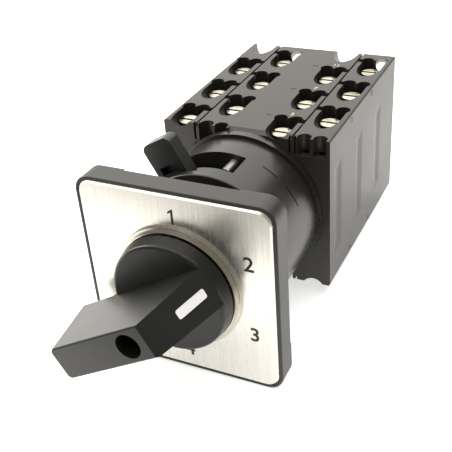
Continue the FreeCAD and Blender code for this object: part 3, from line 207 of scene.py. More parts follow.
class SurfaceEffects:
    """Build the node groups that several materials share."""

    # How fine each effect is, in cycles per metre.
    PLASTIC_GRAIN = 5200.0
    PLASTIC_FLOW = 120.0
    PLASTIC_CLOUD = 38.0
    BRUSH_FINE = 9000.0
    BRUSH_WIDE = 1500.0
    LATHE_LINES = 6000.0
    PLATING_DENTS = 900.0
    PLATING_STAIN = 260.0
    DUST_FLECKS = 2600.0
    DUST_HAZE = 160.0
    SURFACE = {"Colour": "NodeSocketColor", "Roughness": "NodeSocketFloat",
               "Height": "NodeSocketFloat"}

    def __init__(self) -> None:
        """Build each group once."""
        self.mould = self._mould_grain()
        self.brush = self._brush_lines()
        self.turned = self._turned_rings()
        self.stamped = self._stamped_metal()
        self.dust = self._dust()

    @staticmethod
    def _group(name: str, numbers: dict[str, float], colours: dict[str, Colour],
               outputs: dict[str, str]) -> tuple[bpy.types.NodeTree, Sketchpad,
                                                 bpy.types.Node, bpy.types.Node]:
        """Start a node group with named sockets.

        Args:
            name: The group's name.
            numbers: Float inputs and their defaults.
            colours: Colour inputs and their defaults.
            outputs: Output names and socket types.

        Returns:
            The tree, a sketchpad on it, its input node and its output node.
        """
        tree = bpy.data.node_groups.new(name, "ShaderNodeTree")
        for label, default in colours.items():
            socket = tree.interface.new_socket(
                name=label, in_out="INPUT", socket_type="NodeSocketColor")
            socket.default_value = default
        for label, default in numbers.items():
            socket = tree.interface.new_socket(
                name=label, in_out="INPUT", socket_type="NodeSocketFloat")
            socket.default_value = default
        for label, kind in outputs.items():
            tree.interface.new_socket(name=label, in_out="OUTPUT", socket_type=kind)
        pad = Sketchpad(tree)
        return tree, pad, pad.put("NodeGroupInput"), pad.put("NodeGroupOutput")

    def _mould_grain(self) -> bpy.types.NodeTree:
        """Build spark-eroded grain with faint flow marks for moulded plastic.

        Returns:
            The group, with a colour, a roughness and a height.
        """
        tree, pad, inside, outside = self._group(
            "mould_grain", {"Roughness": 0.5, "Variation": 0.12, "Lift": 0.25},
            {"Colour": grey(0.03)}, self.SURFACE)
        place = pad.put("TexCoord").outputs["Object"]
        grain = pad.noise(place, self.PLASTIC_GRAIN, 4.0, 0.6)
        flow = pad.noise(place, self.PLASTIC_FLOW, 3.0, 0.5)
        broad = pad.noise(place, self.PLASTIC_CLOUD, 2.0, 0.5)
        mixed = pad.math("ADD", pad.math("MULTIPLY", flow, 0.6),
                         pad.math("MULTIPLY", broad, 0.4))
        spread = pad.math("MULTIPLY", pad.math("SUBTRACT", mixed, 0.5),
                          inside.outputs["Variation"])
        pad.join(pad.math("ADD", inside.outputs["Roughness"], spread, True),
                 outside.inputs["Roughness"])
        lifted = pad.math("MULTIPLY", pad.ramp(mixed, 0.35, 0.7), inside.outputs["Lift"])
        pale = pad.blend(1.0, inside.outputs["Colour"], grey(1.9), "MULTIPLY")
        pad.join(pad.blend(lifted, inside.outputs["Colour"], pale), outside.inputs["Colour"])
        pad.join(grain, outside.inputs["Height"])
        return tree

    def _brush_lines(self) -> bpy.types.NodeTree:
        """Build long fine brush lines along one direction of the plate.

        Returns:
            The group, with a colour, a roughness and a height.
        """
        tree, pad, inside, outside = self._group(
            "brush_lines", {"Roughness": 0.3, "Across X": 1.0, "Across Y": 1.0,
                            "Across Z": 0.02, "Depth": 0.5},
            {"Colour": grey(0.8)}, self.SURFACE)
        place = pad.put("TexCoord").outputs["Object"]
        stretch = pad.put("CombineXYZ")
        for axis in "XYZ":
            pad.join(inside.outputs["Across " + axis], stretch.inputs[axis])
        scaled = pad.put("VectorMath", operation="MULTIPLY")
        pad.join(place, scaled.inputs[0])
        pad.join(stretch.outputs[0], scaled.inputs[1])
        fine = pad.noise(scaled.outputs[0], self.BRUSH_FINE, 3.0, 0.7)
        wide = pad.noise(scaled.outputs[0], self.BRUSH_WIDE, 2.0, 0.6)
        lines = pad.math("ADD", pad.math("MULTIPLY", fine, 0.6),
                         pad.math("MULTIPLY", wide, 0.4))
        shade = pad.math("MULTIPLY", pad.ramp(lines, 0.35, 0.65, 0.0, 0.3),
                         inside.outputs["Depth"])
        dark = pad.blend(1.0, inside.outputs["Colour"], grey(0.45), "MULTIPLY")
        pad.join(pad.blend(shade, inside.outputs["Colour"], dark), outside.inputs["Colour"])
        pad.join(pad.math("ADD", inside.outputs["Roughness"],
                          pad.ramp(lines, 0.3, 0.7, -0.06, 0.06), True),
                 outside.inputs["Roughness"])
        pad.join(lines, outside.inputs["Height"])
        return tree

    def _turned_rings(self) -> bpy.types.NodeTree:
        """Build the concentric lines that a lathe leaves round the shaft axis.

        Returns:
            The group, with a colour, a roughness and a height.
        """
        tree, pad, inside, outside = self._group(
            "turned_rings", {"Roughness": 0.25, "Depth": 0.5}, {"Colour": grey(0.75)},
            self.SURFACE)
        place = pad.put("TexCoord").outputs["Object"]
        flat = pad.put("VectorMath", operation="MULTIPLY")
        pad.join(place, flat.inputs[0])
        flat.inputs[1].default_value = (1.0, 0.0, 1.0)
        length = pad.put("VectorMath", operation="LENGTH")
        pad.join(flat.outputs[0], length.inputs[0])
        ring = pad.put("TexNoise", noise_dimensions="1D")
        pad.join(length.outputs["Value"], ring.inputs["W"])
        ring.inputs["Scale"].default_value = self.LATHE_LINES
        ring.inputs["Detail"].default_value = 2.0
        shade = pad.math("MULTIPLY", pad.ramp(ring.outputs["Fac"], 0.35, 0.65, 0.0, 0.5),
                         inside.outputs["Depth"])
        dark = pad.blend(1.0, inside.outputs["Colour"], grey(0.4), "MULTIPLY")
        pad.join(pad.blend(shade, inside.outputs["Colour"], dark), outside.inputs["Colour"])
        pad.join(pad.math("ADD", inside.outputs["Roughness"],
                          pad.ramp(ring.outputs["Fac"], 0.3, 0.7, -0.05, 0.08), True),
                 outside.inputs["Roughness"])
        pad.join(ring.outputs["Fac"], outside.inputs["Height"])
        return tree

    def _stamped_metal(self) -> bpy.types.NodeTree:
        """Build plated stampings with soft dents and a faint tarnish.

        Returns:
            The group, with a colour, a roughness and a height.
        """
        tree, pad, inside, outside = self._group(
            "stamped_metal", {"Roughness": 0.3, "Tarnish": 0.3},
            {"Colour": grey(0.7), "Tarnish Colour": (0.35, 0.27, 0.17, 1.0)},
            self.SURFACE)
        place = pad.put("TexCoord").outputs["Object"]
        dents = pad.noise(place, self.PLATING_DENTS, 3.0, 0.55)
        stain = pad.noise(place, self.PLATING_STAIN, 4.0, 0.65)
        mask = pad.math("MULTIPLY", pad.ramp(stain, 0.48, 0.72), inside.outputs["Tarnish"])
        pad.join(pad.blend(mask, inside.outputs["Colour"], inside.outputs["Tarnish Colour"]),
                 outside.inputs["Colour"])
        pad.join(pad.math("ADD", inside.outputs["Roughness"],
                          pad.math("MULTIPLY", mask, 0.35), True),
                 outside.inputs["Roughness"])
        pad.join(dents, outside.inputs["Height"])
        return tree

    def _dust(self) -> bpy.types.NodeTree:
        """Build fine pale dust that settles on faces that look up.

        Returns:
            The group, with a colour and the dust's mask.
        """
        tree, pad, inside, outside = self._group(
            "settled_dust", {"Amount": 0.2},
            {"Colour": grey(0.03), "Dust Colour": (0.30, 0.28, 0.26, 1.0)},
            {"Colour": "NodeSocketColor", "Mask": "NodeSocketFloat"})
        normal = pad.put("NewGeometry").outputs["Normal"]
        parts = pad.put("SeparateXYZ")
        pad.join(normal, parts.inputs[0])
        up = pad.ramp(parts.outputs["Z"], 0.3, 0.95)
        place = pad.put("TexCoord").outputs["Object"]
        fleck = pad.ramp(pad.noise(place, self.DUST_FLECKS, 5.0, 0.7), 0.56, 0.74)
        haze = pad.ramp(pad.noise(place, self.DUST_HAZE, 3.0, 0.6), 0.35, 0.75, 0.25, 1.0)
        mask = pad.math("MULTIPLY", pad.math("MULTIPLY", up, haze),
                        pad.math("MULTIPLY", pad.math("ADD", fleck, 0.25),
                                 inside.outputs["Amount"]), True)
        pad.join(pad.blend(mask, inside.outputs["Colour"], inside.outputs["Dust Colour"]),
                 outside.inputs["Colour"])
        pad.join(mask, outside.inputs["Mask"])
        return tree


@dataclass(frozen=True)
class MouldedPlastic:
    """Hold one moulded plastic finish."""

    RELIEF: ClassVar[float] = 0.04 * MM
    DUST_ROUGHENS: ClassVar[float] = 0.5

    name: str
    colour: Colour
    roughness: float = 0.5
    variation: float = 0.14
    lift: float = 0.3
    bump: float = 0.12
    dust: float = 0.15
    specular: float = 0.5

    def material(self, effects: SurfaceEffects) -> bpy.types.Material:
        """Make the plastic's material.

        Args:
            effects: The shared node groups.

        Returns:
            The material.
        """
        made, pad, shader = start_material(self.name)
        grain = pad.put("Group", node_tree=effects.mould)
        grain.inputs["Colour"].default_value = self.colour
        grain.inputs["Roughness"].default_value = self.roughness
        grain.inputs["Variation"].default_value = self.variation
        grain.inputs["Lift"].default_value = self.lift
        dust = pad.put("Group", node_tree=effects.dust)
        dust.inputs["Amount"].default_value = self.dust
        pad.join(grain.outputs["Colour"], dust.inputs["Colour"])
        pad.join(dust.outputs["Colour"], shader.inputs["Base Color"])
        pad.join(pad.math("ADD", grain.outputs["Roughness"],
                          pad.math("MULTIPLY", dust.outputs["Mask"], self.DUST_ROUGHENS),
                          True),
                 shader.inputs["Roughness"])
        shader.inputs["Specular IOR Level"].default_value = self.specular
        finish_bump(pad, grain.outputs["Height"], shader, self.bump, self.RELIEF)
        return made


@dataclass(frozen=True)
class BareMetal:
    """Hold one metal finish."""

    RELIEF: ClassVar[float] = 0.03 * MM
    ALONG_LINES: ClassVar[float] = 0.02

    name: str
    colour: Colour
    grain: Grain
    roughness: float = 0.3
    depth: float = 0.6
    bump: float = 0.1
    tarnish: float = 0.3

    def material(self, effects: SurfaceEffects) -> bpy.types.Material:
        """Make the metal's material.

        Args:
            effects: The shared node groups.

        Returns:
            The material.
        """
        made, pad, shader = start_material(self.name)
        shader.inputs["Metallic"].default_value = 1.0
        trees = {Grain.TURNED: effects.turned, Grain.STAMPED: effects.stamped}
        texture = pad.put("Group", node_tree=trees.get(self.grain, effects.brush))
        texture.inputs["Colour"].default_value = self.colour
        texture.inputs["Roughness"].default_value = self.roughness
        if self.grain is Grain.STAMPED:
            texture.inputs["Tarnish"].default_value = self.tarnish
        else:
            texture.inputs["Depth"].default_value = self.depth
        if self.grain is Grain.BRUSHED_LONG:
            texture.inputs["Across Y"].default_value = self.ALONG_LINES
            texture.inputs["Across Z"].default_value = 1.0
        pad.join(texture.outputs["Colour"], shader.inputs["Base Color"])
        pad.join(texture.outputs["Roughness"], shader.inputs["Roughness"])
        finish_bump(pad, texture.outputs["Height"], shader, self.bump, self.RELIEF)
        return made


@dataclass(frozen=True)
class PrintedInk:
    """Hold one printed or filled ink."""

    RELIEF: ClassVar[float] = 0.02 * MM
    BUMP: ClassVar[float] = 0.06
    LIFT: ClassVar[float] = 0.08

    name: str
    colour: Colour
    roughness: float = 0.45

    def material(self, effects: SurfaceEffects) -> bpy.types.Material:
        """Make the ink's material.

        Args:
            effects: The shared node groups.

        Returns:
            The material.
        """
        made, pad, shader = start_material(self.name)
        grain = pad.put("Group", node_tree=effects.mould)
        grain.inputs["Colour"].default_value = self.colour
        grain.inputs["Roughness"].default_value = self.roughness
        grain.inputs["Lift"].default_value = self.LIFT
        pad.join(grain.outputs["Colour"], shader.inputs["Base Color"])
        pad.join(grain.outputs["Roughness"], shader.inputs["Roughness"])
        finish_bump(pad, grain.outputs["Height"], shader, self.BUMP, self.RELIEF)
        return made


def start_material(name: str) -> tuple[bpy.types.Material, Sketchpad, bpy.types.Node]:
    """Start a material with a plain shader and output.

    Args:
        name: The material's name.

    Returns:
        The material, a sketchpad on its tree and its shader node.
    """
    made = bpy.data.materials.new(name)
    made.use_nodes = True
    made.node_tree.nodes.clear()
    pad = Sketchpad(made.node_tree)
    shader = pad.put("BsdfPrincipled")
    output = pad.put("OutputMaterial")
    pad.join(shader.outputs["BSDF"], output.inputs["Surface"])
    return made, pad, shader


def finish_bump(pad: Sketchpad, height: bpy.types.NodeSocket, shader: bpy.types.Node,
                strength: float, distance: float) -> None:
    """Feed a height through a bump node into a shader's normal.

    Args:
        pad: The sketchpad of the material.
        height: The height.
        shader: The shader node.
        strength: The bump's strength.
        distance: The height of the relief in metres.
    """
    bump = pad.put("Bump")
    bump.inputs["Strength"].default_value = strength
    bump.inputs["Distance"].default_value = distance
    pad.join(height, bump.inputs["Height"])
    pad.join(bump.outputs["Normal"], shader.inputs["Normal"])


@dataclass(frozen=True)
class FinishBook:
    """List every finish of the switch."""

    frame: MouldedPlastic = MouldedPlastic(
        "frame_satin_grey", (0.012, 0.012, 0.0105, 1.0), 0.40, bump=0.14, dust=0.06)
    handle: MouldedPlastic = MouldedPlastic(
        "handle_satin_black", (0.008, 0.0082, 0.0072, 1.0), 0.32, lift=0.3, bump=0.12,
        dust=0.03, specular=0.37)
    adapter: MouldedPlastic = MouldedPlastic(
        "adapter_black", (0.013, 0.0125, 0.0112, 1.0), 0.28, bump=0.08, dust=0.08)
    lever: MouldedPlastic = MouldedPlastic(
        "lever_black", grey(0.010), 0.34, bump=0.08, dust=0.06)
    block: MouldedPlastic = MouldedPlastic(
        "block_thermoset", (0.019, 0.016, 0.014, 1.0), 0.40, lift=0.5, bump=0.14, dust=0.16)
    seal: MouldedPlastic = MouldedPlastic("seal_rubber", grey(0.02), 0.75, dust=0.2)
    index: MouldedPlastic = MouldedPlastic(
        "index_natural", (0.62, 0.58, 0.50, 1.0), 0.42, dust=0.0)
    plunger: MouldedPlastic = MouldedPlastic(
        "plunger_red", (0.36, 0.035, 0.02, 1.0), 0.4, dust=0.0)
    legend: BareMetal = BareMetal(
        "legend_brushed", (0.80, 0.775, 0.715, 1.0), Grain.BRUSHED_UPRIGHT, 0.26, 0.9, 0.14)
    ring: BareMetal = BareMetal(
        "ring_turned", (0.62, 0.59, 0.52, 1.0), Grain.TURNED, 0.20, 1.0, 0.25)
    steel: BareMetal = BareMetal("screw_zinc", grey(0.55), Grain.STAMPED, 0.3, tarnish=0.2)
    shaft: BareMetal = BareMetal("shaft_drawn", grey(0.5), Grain.BRUSHED_LONG, 0.32, 0.5)
    spring: BareMetal = BareMetal("spring_wire", grey(0.42), Grain.STAMPED, 0.3, tarnish=0.1)
    nickel: BareMetal = BareMetal(
        "terminal_nickel", (0.46, 0.44, 0.375, 1.0), Grain.STAMPED, 0.20, tarnish=0.85,
        bump=0.5)
    brass: BareMetal = BareMetal(
        "contact_brass", (0.70, 0.50, 0.22, 1.0), Grain.STAMPED, 0.28, tarnish=0.3)
    white: PrintedInk = PrintedInk("indicator_white", grey(0.94), 0.34)
    black_ink: PrintedInk = PrintedInk("figure_black", grey(0.006), 0.5)
    gold_ink: PrintedInk = PrintedInk("mark_gold", (0.78, 0.60, 0.40, 1.0), 0.4)

    def make(self, effects: SurfaceEffects) -> dict[str, bpy.types.Material]:
        """Return every material by the name of its field."""
        return {name: getattr(self, name).material(effects)
                for name in self.__dataclass_fields__}


def make_piece(name: str, mesh: bmesh.types.BMesh, material: bpy.types.Material) -> bpy.types.Object:
    """Turn a mesh under construction into a piece with a material and a slot.

    Args:
        name: The piece's name.
        mesh: The mesh under construction, freed here.
        material: Its material.

    Returns:
        The new object.
    """
    bmesh.ops.recalc_face_normals(mesh, faces=mesh.faces)
    data = bpy.data.meshes.new(name)
    mesh.to_mesh(data)
    mesh.free()
    data.materials.append(material)
    made = bpy.data.objects.new(name, data)
    bpy.context.scene.collection.objects.link(made)
    LOG.info("made %s with %d faces", name, len(data.polygons))
    return made


def place_mesh(name: str, mesh: bmesh.types.BMesh, material: bpy.types.Material,
               body: str) -> bpy.types.Object:
    """Make a piece that rides on a body.

    Args:
        name: The piece's name.
        mesh: The mesh under construction, freed here.
        material: Its material.
        body: The body that it rides on.

    Returns:
        The new object.
    """
    made = make_piece(name, mesh, material)
    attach(made, body)
    return made


def add_figure(mesh: bmesh.types.BMesh, text: str, height: float, depth: float,
               place: Matrix, bold: float = 0.0) -> None:
    """Add raised figures to a mesh under construction.

    Args:
        mesh: The mesh to add to.
        text: The digits.
        height: Their height in metres.
        depth: How far they stand up, in metres.
        place: Where their middle goes, with the digits in its XY plane.
        bold: Extra stroke width in metres.
    """
    curve = bpy.data.curves.new("figure", "FONT")
    curve.body = text
    curve.size = height / CAPITAL_SHARE
    curve.align_x = "CENTER"
    curve.align_y = "CENTER"
    curve.extrude = depth / 2
    curve.offset = bold
    curve.resolution_u = 6
    holder = bpy.data.objects.new("figure", curve)
    bpy.context.scene.collection.objects.link(holder)
    bpy.context.view_layer.update()
    shape = bpy.data.meshes.new_from_object(holder)
    spread = [vertex.co.copy() for vertex in shape.vertices]
    middle = Vector((
        (min(v.x for v in spread) + max(v.x for v in spread)) / 2,
        (min(v.y for v in spread) + max(v.y for v in spread)) / 2, 0.0))
    shape.transform(place @ Matrix.Translation(-middle))
    mesh.from_mesh(shape)
    bpy.data.meshes.remove(shape)
    bpy.data.objects.remove(holder)
    bpy.data.curves.remove(curve)


def add_pad(mesh: bmesh.types.BMesh, middle: Vector, size: Vector, soften: float) -> None:
    """Add a small bevelled bar to a mesh under construction.

    Args:
        mesh: The mesh to add to.
        middle: Its middle in metres.
        size: Its three sides in metres.
        soften: The width of its bevelled edges.
    """
    made = bmesh.ops.create_cube(mesh, size=1.0)
    verts = made["verts"]
    bmesh.ops.scale(mesh, vec=size, verts=verts)
    bmesh.ops.translate(mesh, vec=middle, verts=verts)
    edges = list({edge for vert in verts for edge in vert.link_edges})
    bmesh.ops.bevel(mesh, geom=edges, offset=soften, segments=2, affect="EDGES", profile=0.7)


def add_slopes(mesh: bmesh.types.BMesh, mouth: Vector, half: Vector, outward: int,
               depth: float, width: float) -> None:
    """Add a closed ring that turns a shallow recess's walls into gentle slopes.

    Args:
        mesh: The mesh to add to.
        mouth: The middle of the recess's mouth, in metres.
        half: Half its length along Y and half its height along Z, in metres.
        outward: 1 where the recess faces +X, and -1 where it faces -X.
        depth: How deep the slopes go.
        width: How far they reach in from the walls.
    """
    rings = []
    for inset, sunk in ((0.0, 0.0), (width, depth), (0.0, depth)):
        rings.append([
            mesh.verts.new(mouth + Vector((-sunk * outward, (half.x - inset) * y,
                                           (half.y - inset) * z)))
            for y, z in ((1, 1), (-1, 1), (-1, -1), (1, -1))])
    for first, second in zip(rings, rings[1:] + rings[:1]):
        for index in range(len(first)):
            after = (index + 1) % len(first)
            mesh.faces.new((first[index], first[after], second[after], second[index]))


def add_ring(mesh: bmesh.types.BMesh, middle: Vector, normal: Vector, radius: float,
             wire: float, turns: int = 28) -> None:
    """Add a thin raised ring, such as an ejector pin's witness mark.

    Args:
        mesh: The mesh to add to.
        middle: Its centre in metres.
        normal: The direction that it faces.
        radius: Its radius.
        wire: Half of its width and height.
        turns: How many segments it has.
    """
    turn = normal.to_track_quat("Z", "Y").to_matrix()
    rows = []
    for step in range(turns):
        angle = 2 * math.pi * step / turns
        spoke = Vector((math.cos(angle), math.sin(angle), 0.0))
        row = []
        for corner in range(5):
            lean = math.pi * corner / 4
            point = spoke * (radius + wire * math.cos(lean))
            point.z = wire * math.sin(lean)
            row.append(mesh.verts.new(middle + turn @ point))
        rows.append(row)
    for step, row in enumerate(rows):
        after = rows[(step + 1) % turns]
        for corner in range(4):
            mesh.faces.new((row[corner], after[corner], after[corner + 1], row[corner + 1]))
        mesh.faces.new((row[4], after[4], after[0], row[0]))


@dataclass(frozen=True)
class Workshop:
    """Hold what every sub-assembly works with: the CAD nodes and the finishes by name."""

    cad: dict[str, bpy.types.Object]
    materials: dict[str, bpy.types.Material]


class SubAssembly:
    """Give the CAD nodes of one sub-assembly their finishes and add its own pieces."""

    nodes: dict[str, str]

    def dress(self, shop: Workshop) -> None:
        """Give each CAD node its finish in every slot.

        Args:
            shop: The CAD nodes and the finishes.
        """
        for name, finish in self.nodes.items():
            node, material = shop.cad[name], shop.materials[finish]
            for slot in node.material_slots:
                slot.material = material
            if not node.material_slots:
                node.data.materials.append(material)
            LOG.info("dressed %s in %s", name, finish)

    def build(self, shop: Workshop) -> None:
        """Add no piece, where the solids have the whole shape."""


@dataclass
class FrontPlate(SubAssembly):
    """Dress the square front: frame, legend plate, collar ring and printed figures."""

    plate_front: float = -5.9 * MM
    figure_height: float = 3.7 * MM
    ink: float = 0.03 * MM
    figures: tuple[tuple[str, float, float], ...] = (
        ("1", 0.3, 17.95), ("2", 17.45, 9.8), ("3", 17.9, -8.9), ("4", 0.95, -17.85))
    bold: float = 0.075 * MM
    stroke: float = 0.54 * MM
    flag: float = 0.95 * MM
    flag_fall: float = 0.75
    flag_root: float = 1.3
    nodes: dict[str, str] = field(default_factory=lambda: {
        "front_frame": "frame", "legend_plate": "legend", "collar_ring": "ring",
        "front_seal": "seal", "front_neck": "adapter"})

    def figure_one(self, mesh: bmesh.types.BMesh, place: Matrix) -> None:
        """Add a figure one with a slanted flag, as an outline with thickness.

        Args:
            mesh: The mesh to add to.
            place: Where its middle goes.
        """
        half, top, side = self.stroke / 2, self.figure_height / 2, self.flag
        tip = top - side * self.flag_fall
        outline = ((half, -top), (half, top), (0.0, top), (-side, tip),
                   (-side, tip - self.stroke), (-half, top - self.stroke * self.flag_root),
                   (-half, -top))
        sides = [[mesh.verts.new(place @ Vector((x, y, z))) for x, y in outline]
                 for z in (-self.ink / 2, self.ink / 2)]
        mesh.faces.new(sides[1])
        mesh.faces.new(list(reversed(sides[0])))
        for index in range(len(outline)):
            after = (index + 1) % len(outline)
            mesh.faces.new((sides[0][index], sides[0][after],
                            sides[1][after], sides[1][index]))

    def build(self, shop: Workshop) -> None:
        """Build the printed figures.

        Args:
            shop: The CAD nodes and the finishes.
        """
        mesh = bmesh.new()
        for text, x, z in self.figures:
            place = Matrix.Translation((x * MM, self.plate_front - self.ink / 2, z * MM))
            place = place @ Matrix.Rotation(math.radians(90), 4, "X")
            if text == "1":
                self.figure_one(mesh, place)
            else:
                add_figure(mesh, text, self.figure_height, self.ink, place, self.bold)
        place_mesh("position_figures", mesh, shop.materials["black_ink"], "housing")


@dataclass
class LeverHandle(SubAssembly):
    """Dress the turning handle, its inlay and screw, and the parts on its shaft."""

    nodes: dict[str, str] = field(default_factory=lambda: {
        "handle": "handle", "indicator_insert": "white", "handle_screw": "steel",
        "drive_shaft": "shaft", "star_wheel": "index", "stop_disc": "index"})


@dataclass
class Adapter(SubAssembly):
    """Dress the round adapter, its locking lever and clamp screws."""

    pin_radius: float = 1.1 * MM
    pin_circle: float = 17.1 * MM
    pin_clock: float = 6.7
    pin_front: float = 16.7 * MM
    base_start: float = 21.8 * MM
    thread_pitch: float = 0.45 * MM
    thread_wire: float = 0.09 * MM
    thread_margin: float = 0.3 * MM
    thread_sides: int = 20
    nodes: dict[str, str] = field(default_factory=lambda: {
        "adapter_housing": "adapter", "adapter_base": "adapter", "locking_lever": "lever",
        "clamp_screws": "steel", "index_springs": "spring"})

    def build(self, shop: Workshop) -> None:
        """Build the thread on the visible ends of the clamp screws.

        Args:
            shop: The CAD nodes and the finishes.
        """
        mesh = bmesh.new()
        for offset in (0.0, 180.0):
            clock = math.radians(self.pin_clock + offset)
            centre = Vector((self.pin_circle * math.sin(clock), 0.0,
                             self.pin_circle * math.cos(clock)))
            y = self.pin_front + self.thread_margin
            while y < self.base_start - self.thread_margin:
                spot = centre + Vector((0.0, y, 0.0))
                add_ring(mesh, spot, Vector((0.0, 1.0, 0.0)), self.pin_radius,
                         self.thread_wire, self.thread_sides)
                y += self.thread_pitch
        place_mesh("clamp_threads", mesh, shop.materials["steel"], "housing")


@dataclass
class ContactBlock(SubAssembly):
    """Dress the contact block and add its figures, mould marks and a separate piece for each contact
    spring.

    Its sizes are in millimetres.
    """

    chambers: int = 6
    front: float = 31.7
    pitch: float = 8.6
    top: float = 20.85
    side: float = 22.2
    clearance: float = 0.01
    mark_height: float = 1.5
    mark_ink: float = 0.03
    marks: tuple[tuple[str, float, float], ...] = (
        ("3", 8.2, 43.6), ("7", 8.2, 60.8), ("11", 8.2, 78.0))
    dashes: tuple[tuple[float, float], ...] = ((2.5, 41.9), (2.5, 59.1), (2.5, 76.3))
    dash_size: tuple[float, float, float] = (1.3, 0.5, 0.12)
    dash_middle: float = 0.02
    dash_edge: float = 0.04
    ejectors: tuple[tuple[float, float], ...] = (
        (48.3, 19.2), (48.3, -19.2), (65.5, 19.2), (65.5, -19.2))
    ejector_radius: float = 0.8
    ejector_rim: float = 0.05
    recess_half: tuple[float, float] = (2.6, 12.5)
    recess_slope: float = 2.2
    recess_depth: float = 0.28
    nodes: dict[str, str] = field(init=False)

    def __post_init__(self) -> None:
        """List the finishes of the block's many nodes."""
        self.nodes = self.finish_names()

    def finish_names(self) -> dict[str, str]:
        """Name the finish of each CAD node of the block.

        Returns:
            The finishes by the name of the node.
        """
        names = {"front_plate": "block", "end_plate": "block", "tie_screws": "steel",
                 "fixed_contacts": "brass", "terminal_clamps": "nickel",
                 "terminal_screws": "nickel", "contact_springs": "spring"}
        for number in range(1, self.chambers + 1):
            names[f"chamber_{number}"] = "block"
            names[f"cam_{number}"] = "index"
            for side in Hand:
                names[f"plunger_{number}_{side.word()}"] = "plunger"
                names[f"bridge_{number}_{side.word()}"] = "brass"
        return names

    def build(self, shop: Workshop) -> None:
        """Build the figures, the mould marks, the recess slopes and the springs.

        Args:
            shop: The CAD nodes and the finishes.
        """
        self.print_figures(shop.materials["gold_ink"])
        self.mark_mouldings(shop.materials["block"])
        self.soften_recesses(shop.materials["block"])
        for number in range(1, self.chambers + 1):
            for which in Hand:
                self.coil(number, which, shop)

    def print_figures(self, material: bpy.types.Material) -> None:
        """Build the terminal figures on the top and on the underside.

        Args:
            material: The ink.
        """
        figures = bmesh.new()
        height = (self.top + self.clearance) * MM
        for flip in (Matrix.Identity(4), Matrix.Rotation(math.pi, 4, "Y")):
            for text, x, y in self.marks:
                place = flip @ Matrix.Translation((x * MM, y * MM, height))
                add_figure(figures, text, self.mark_height * MM, self.mark_ink * MM, place)
        place_mesh("terminal_figures", figures, material, "housing")

    def mark_mouldings(self, material: bpy.types.Material) -> None:
        """Build the moulded dashes and the rings that the ejector pins leave.

        Args:
            material: The block's plastic.
        """
        pips = bmesh.new()
        for turned in (1, -1):
            for x, y in self.dashes:
                middle = Vector((x * turned, y, (self.top + self.dash_middle) * turned))
                add_pad(pips, middle * MM, Vector(self.dash_size) * MM, self.dash_edge * MM)
            for y, z in self.ejectors:
                add_ring(pips, Vector((self.side * turned, y, z)) * MM,
                         Vector((turned, 0, 0)), self.ejector_radius * MM,
                         self.ejector_rim * MM)
        place_mesh("mould_marks", pips, material, "housing")

    def coil(self, number: int, which: Hand, shop: Workshop) -> None:
        """Make one contact spring as its own piece, cut out of the CAD springs.

        Args:
            number: The chamber that it is in.
            which: The side of the shaft.
            shop: The CAD nodes and the finishes.
        """
        hand, side = which.word(), which.value
        low = (self.front + (number - 1) * self.pitch) * MM
        mesh = bmesh.new()
        mesh.from_mesh(shop.cad["contact_springs"].data)
        others = [vertex for vertex in mesh.verts
                  if vertex.co.x * side < 0 or not low < vertex.co.y < low + self.pitch * MM]
        bmesh.ops.delete(mesh, geom=others, context="VERTS")
        made = make_piece(f"contact_spring_{number}_{hand}", mesh,
                          shop.materials["spring"])
        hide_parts("contact_springs")
        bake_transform(made)

    def soften_recesses(self, material: bpy.types.Material) -> None:
        """Ease the walls of the side recesses of each second chamber.

        Args:
            material: The block's plastic.
        """
        slopes = bmesh.new()
        length, height = self.recess_half
        half = Vector((length - self.clearance, height - self.clearance)) * MM
        for number in range(1, self.chambers + 1, 2):
            y = self.front + number * self.pitch - length
            for outward in (1, -1):
                mouth = Vector(((self.side - self.clearance) * outward, y, 0.0)) * MM
                add_slopes(slopes, mouth, half, outward, self.recess_depth * MM,
                           self.recess_slope * MM)
        place_mesh("recess_slopes", slopes, material, "housing")


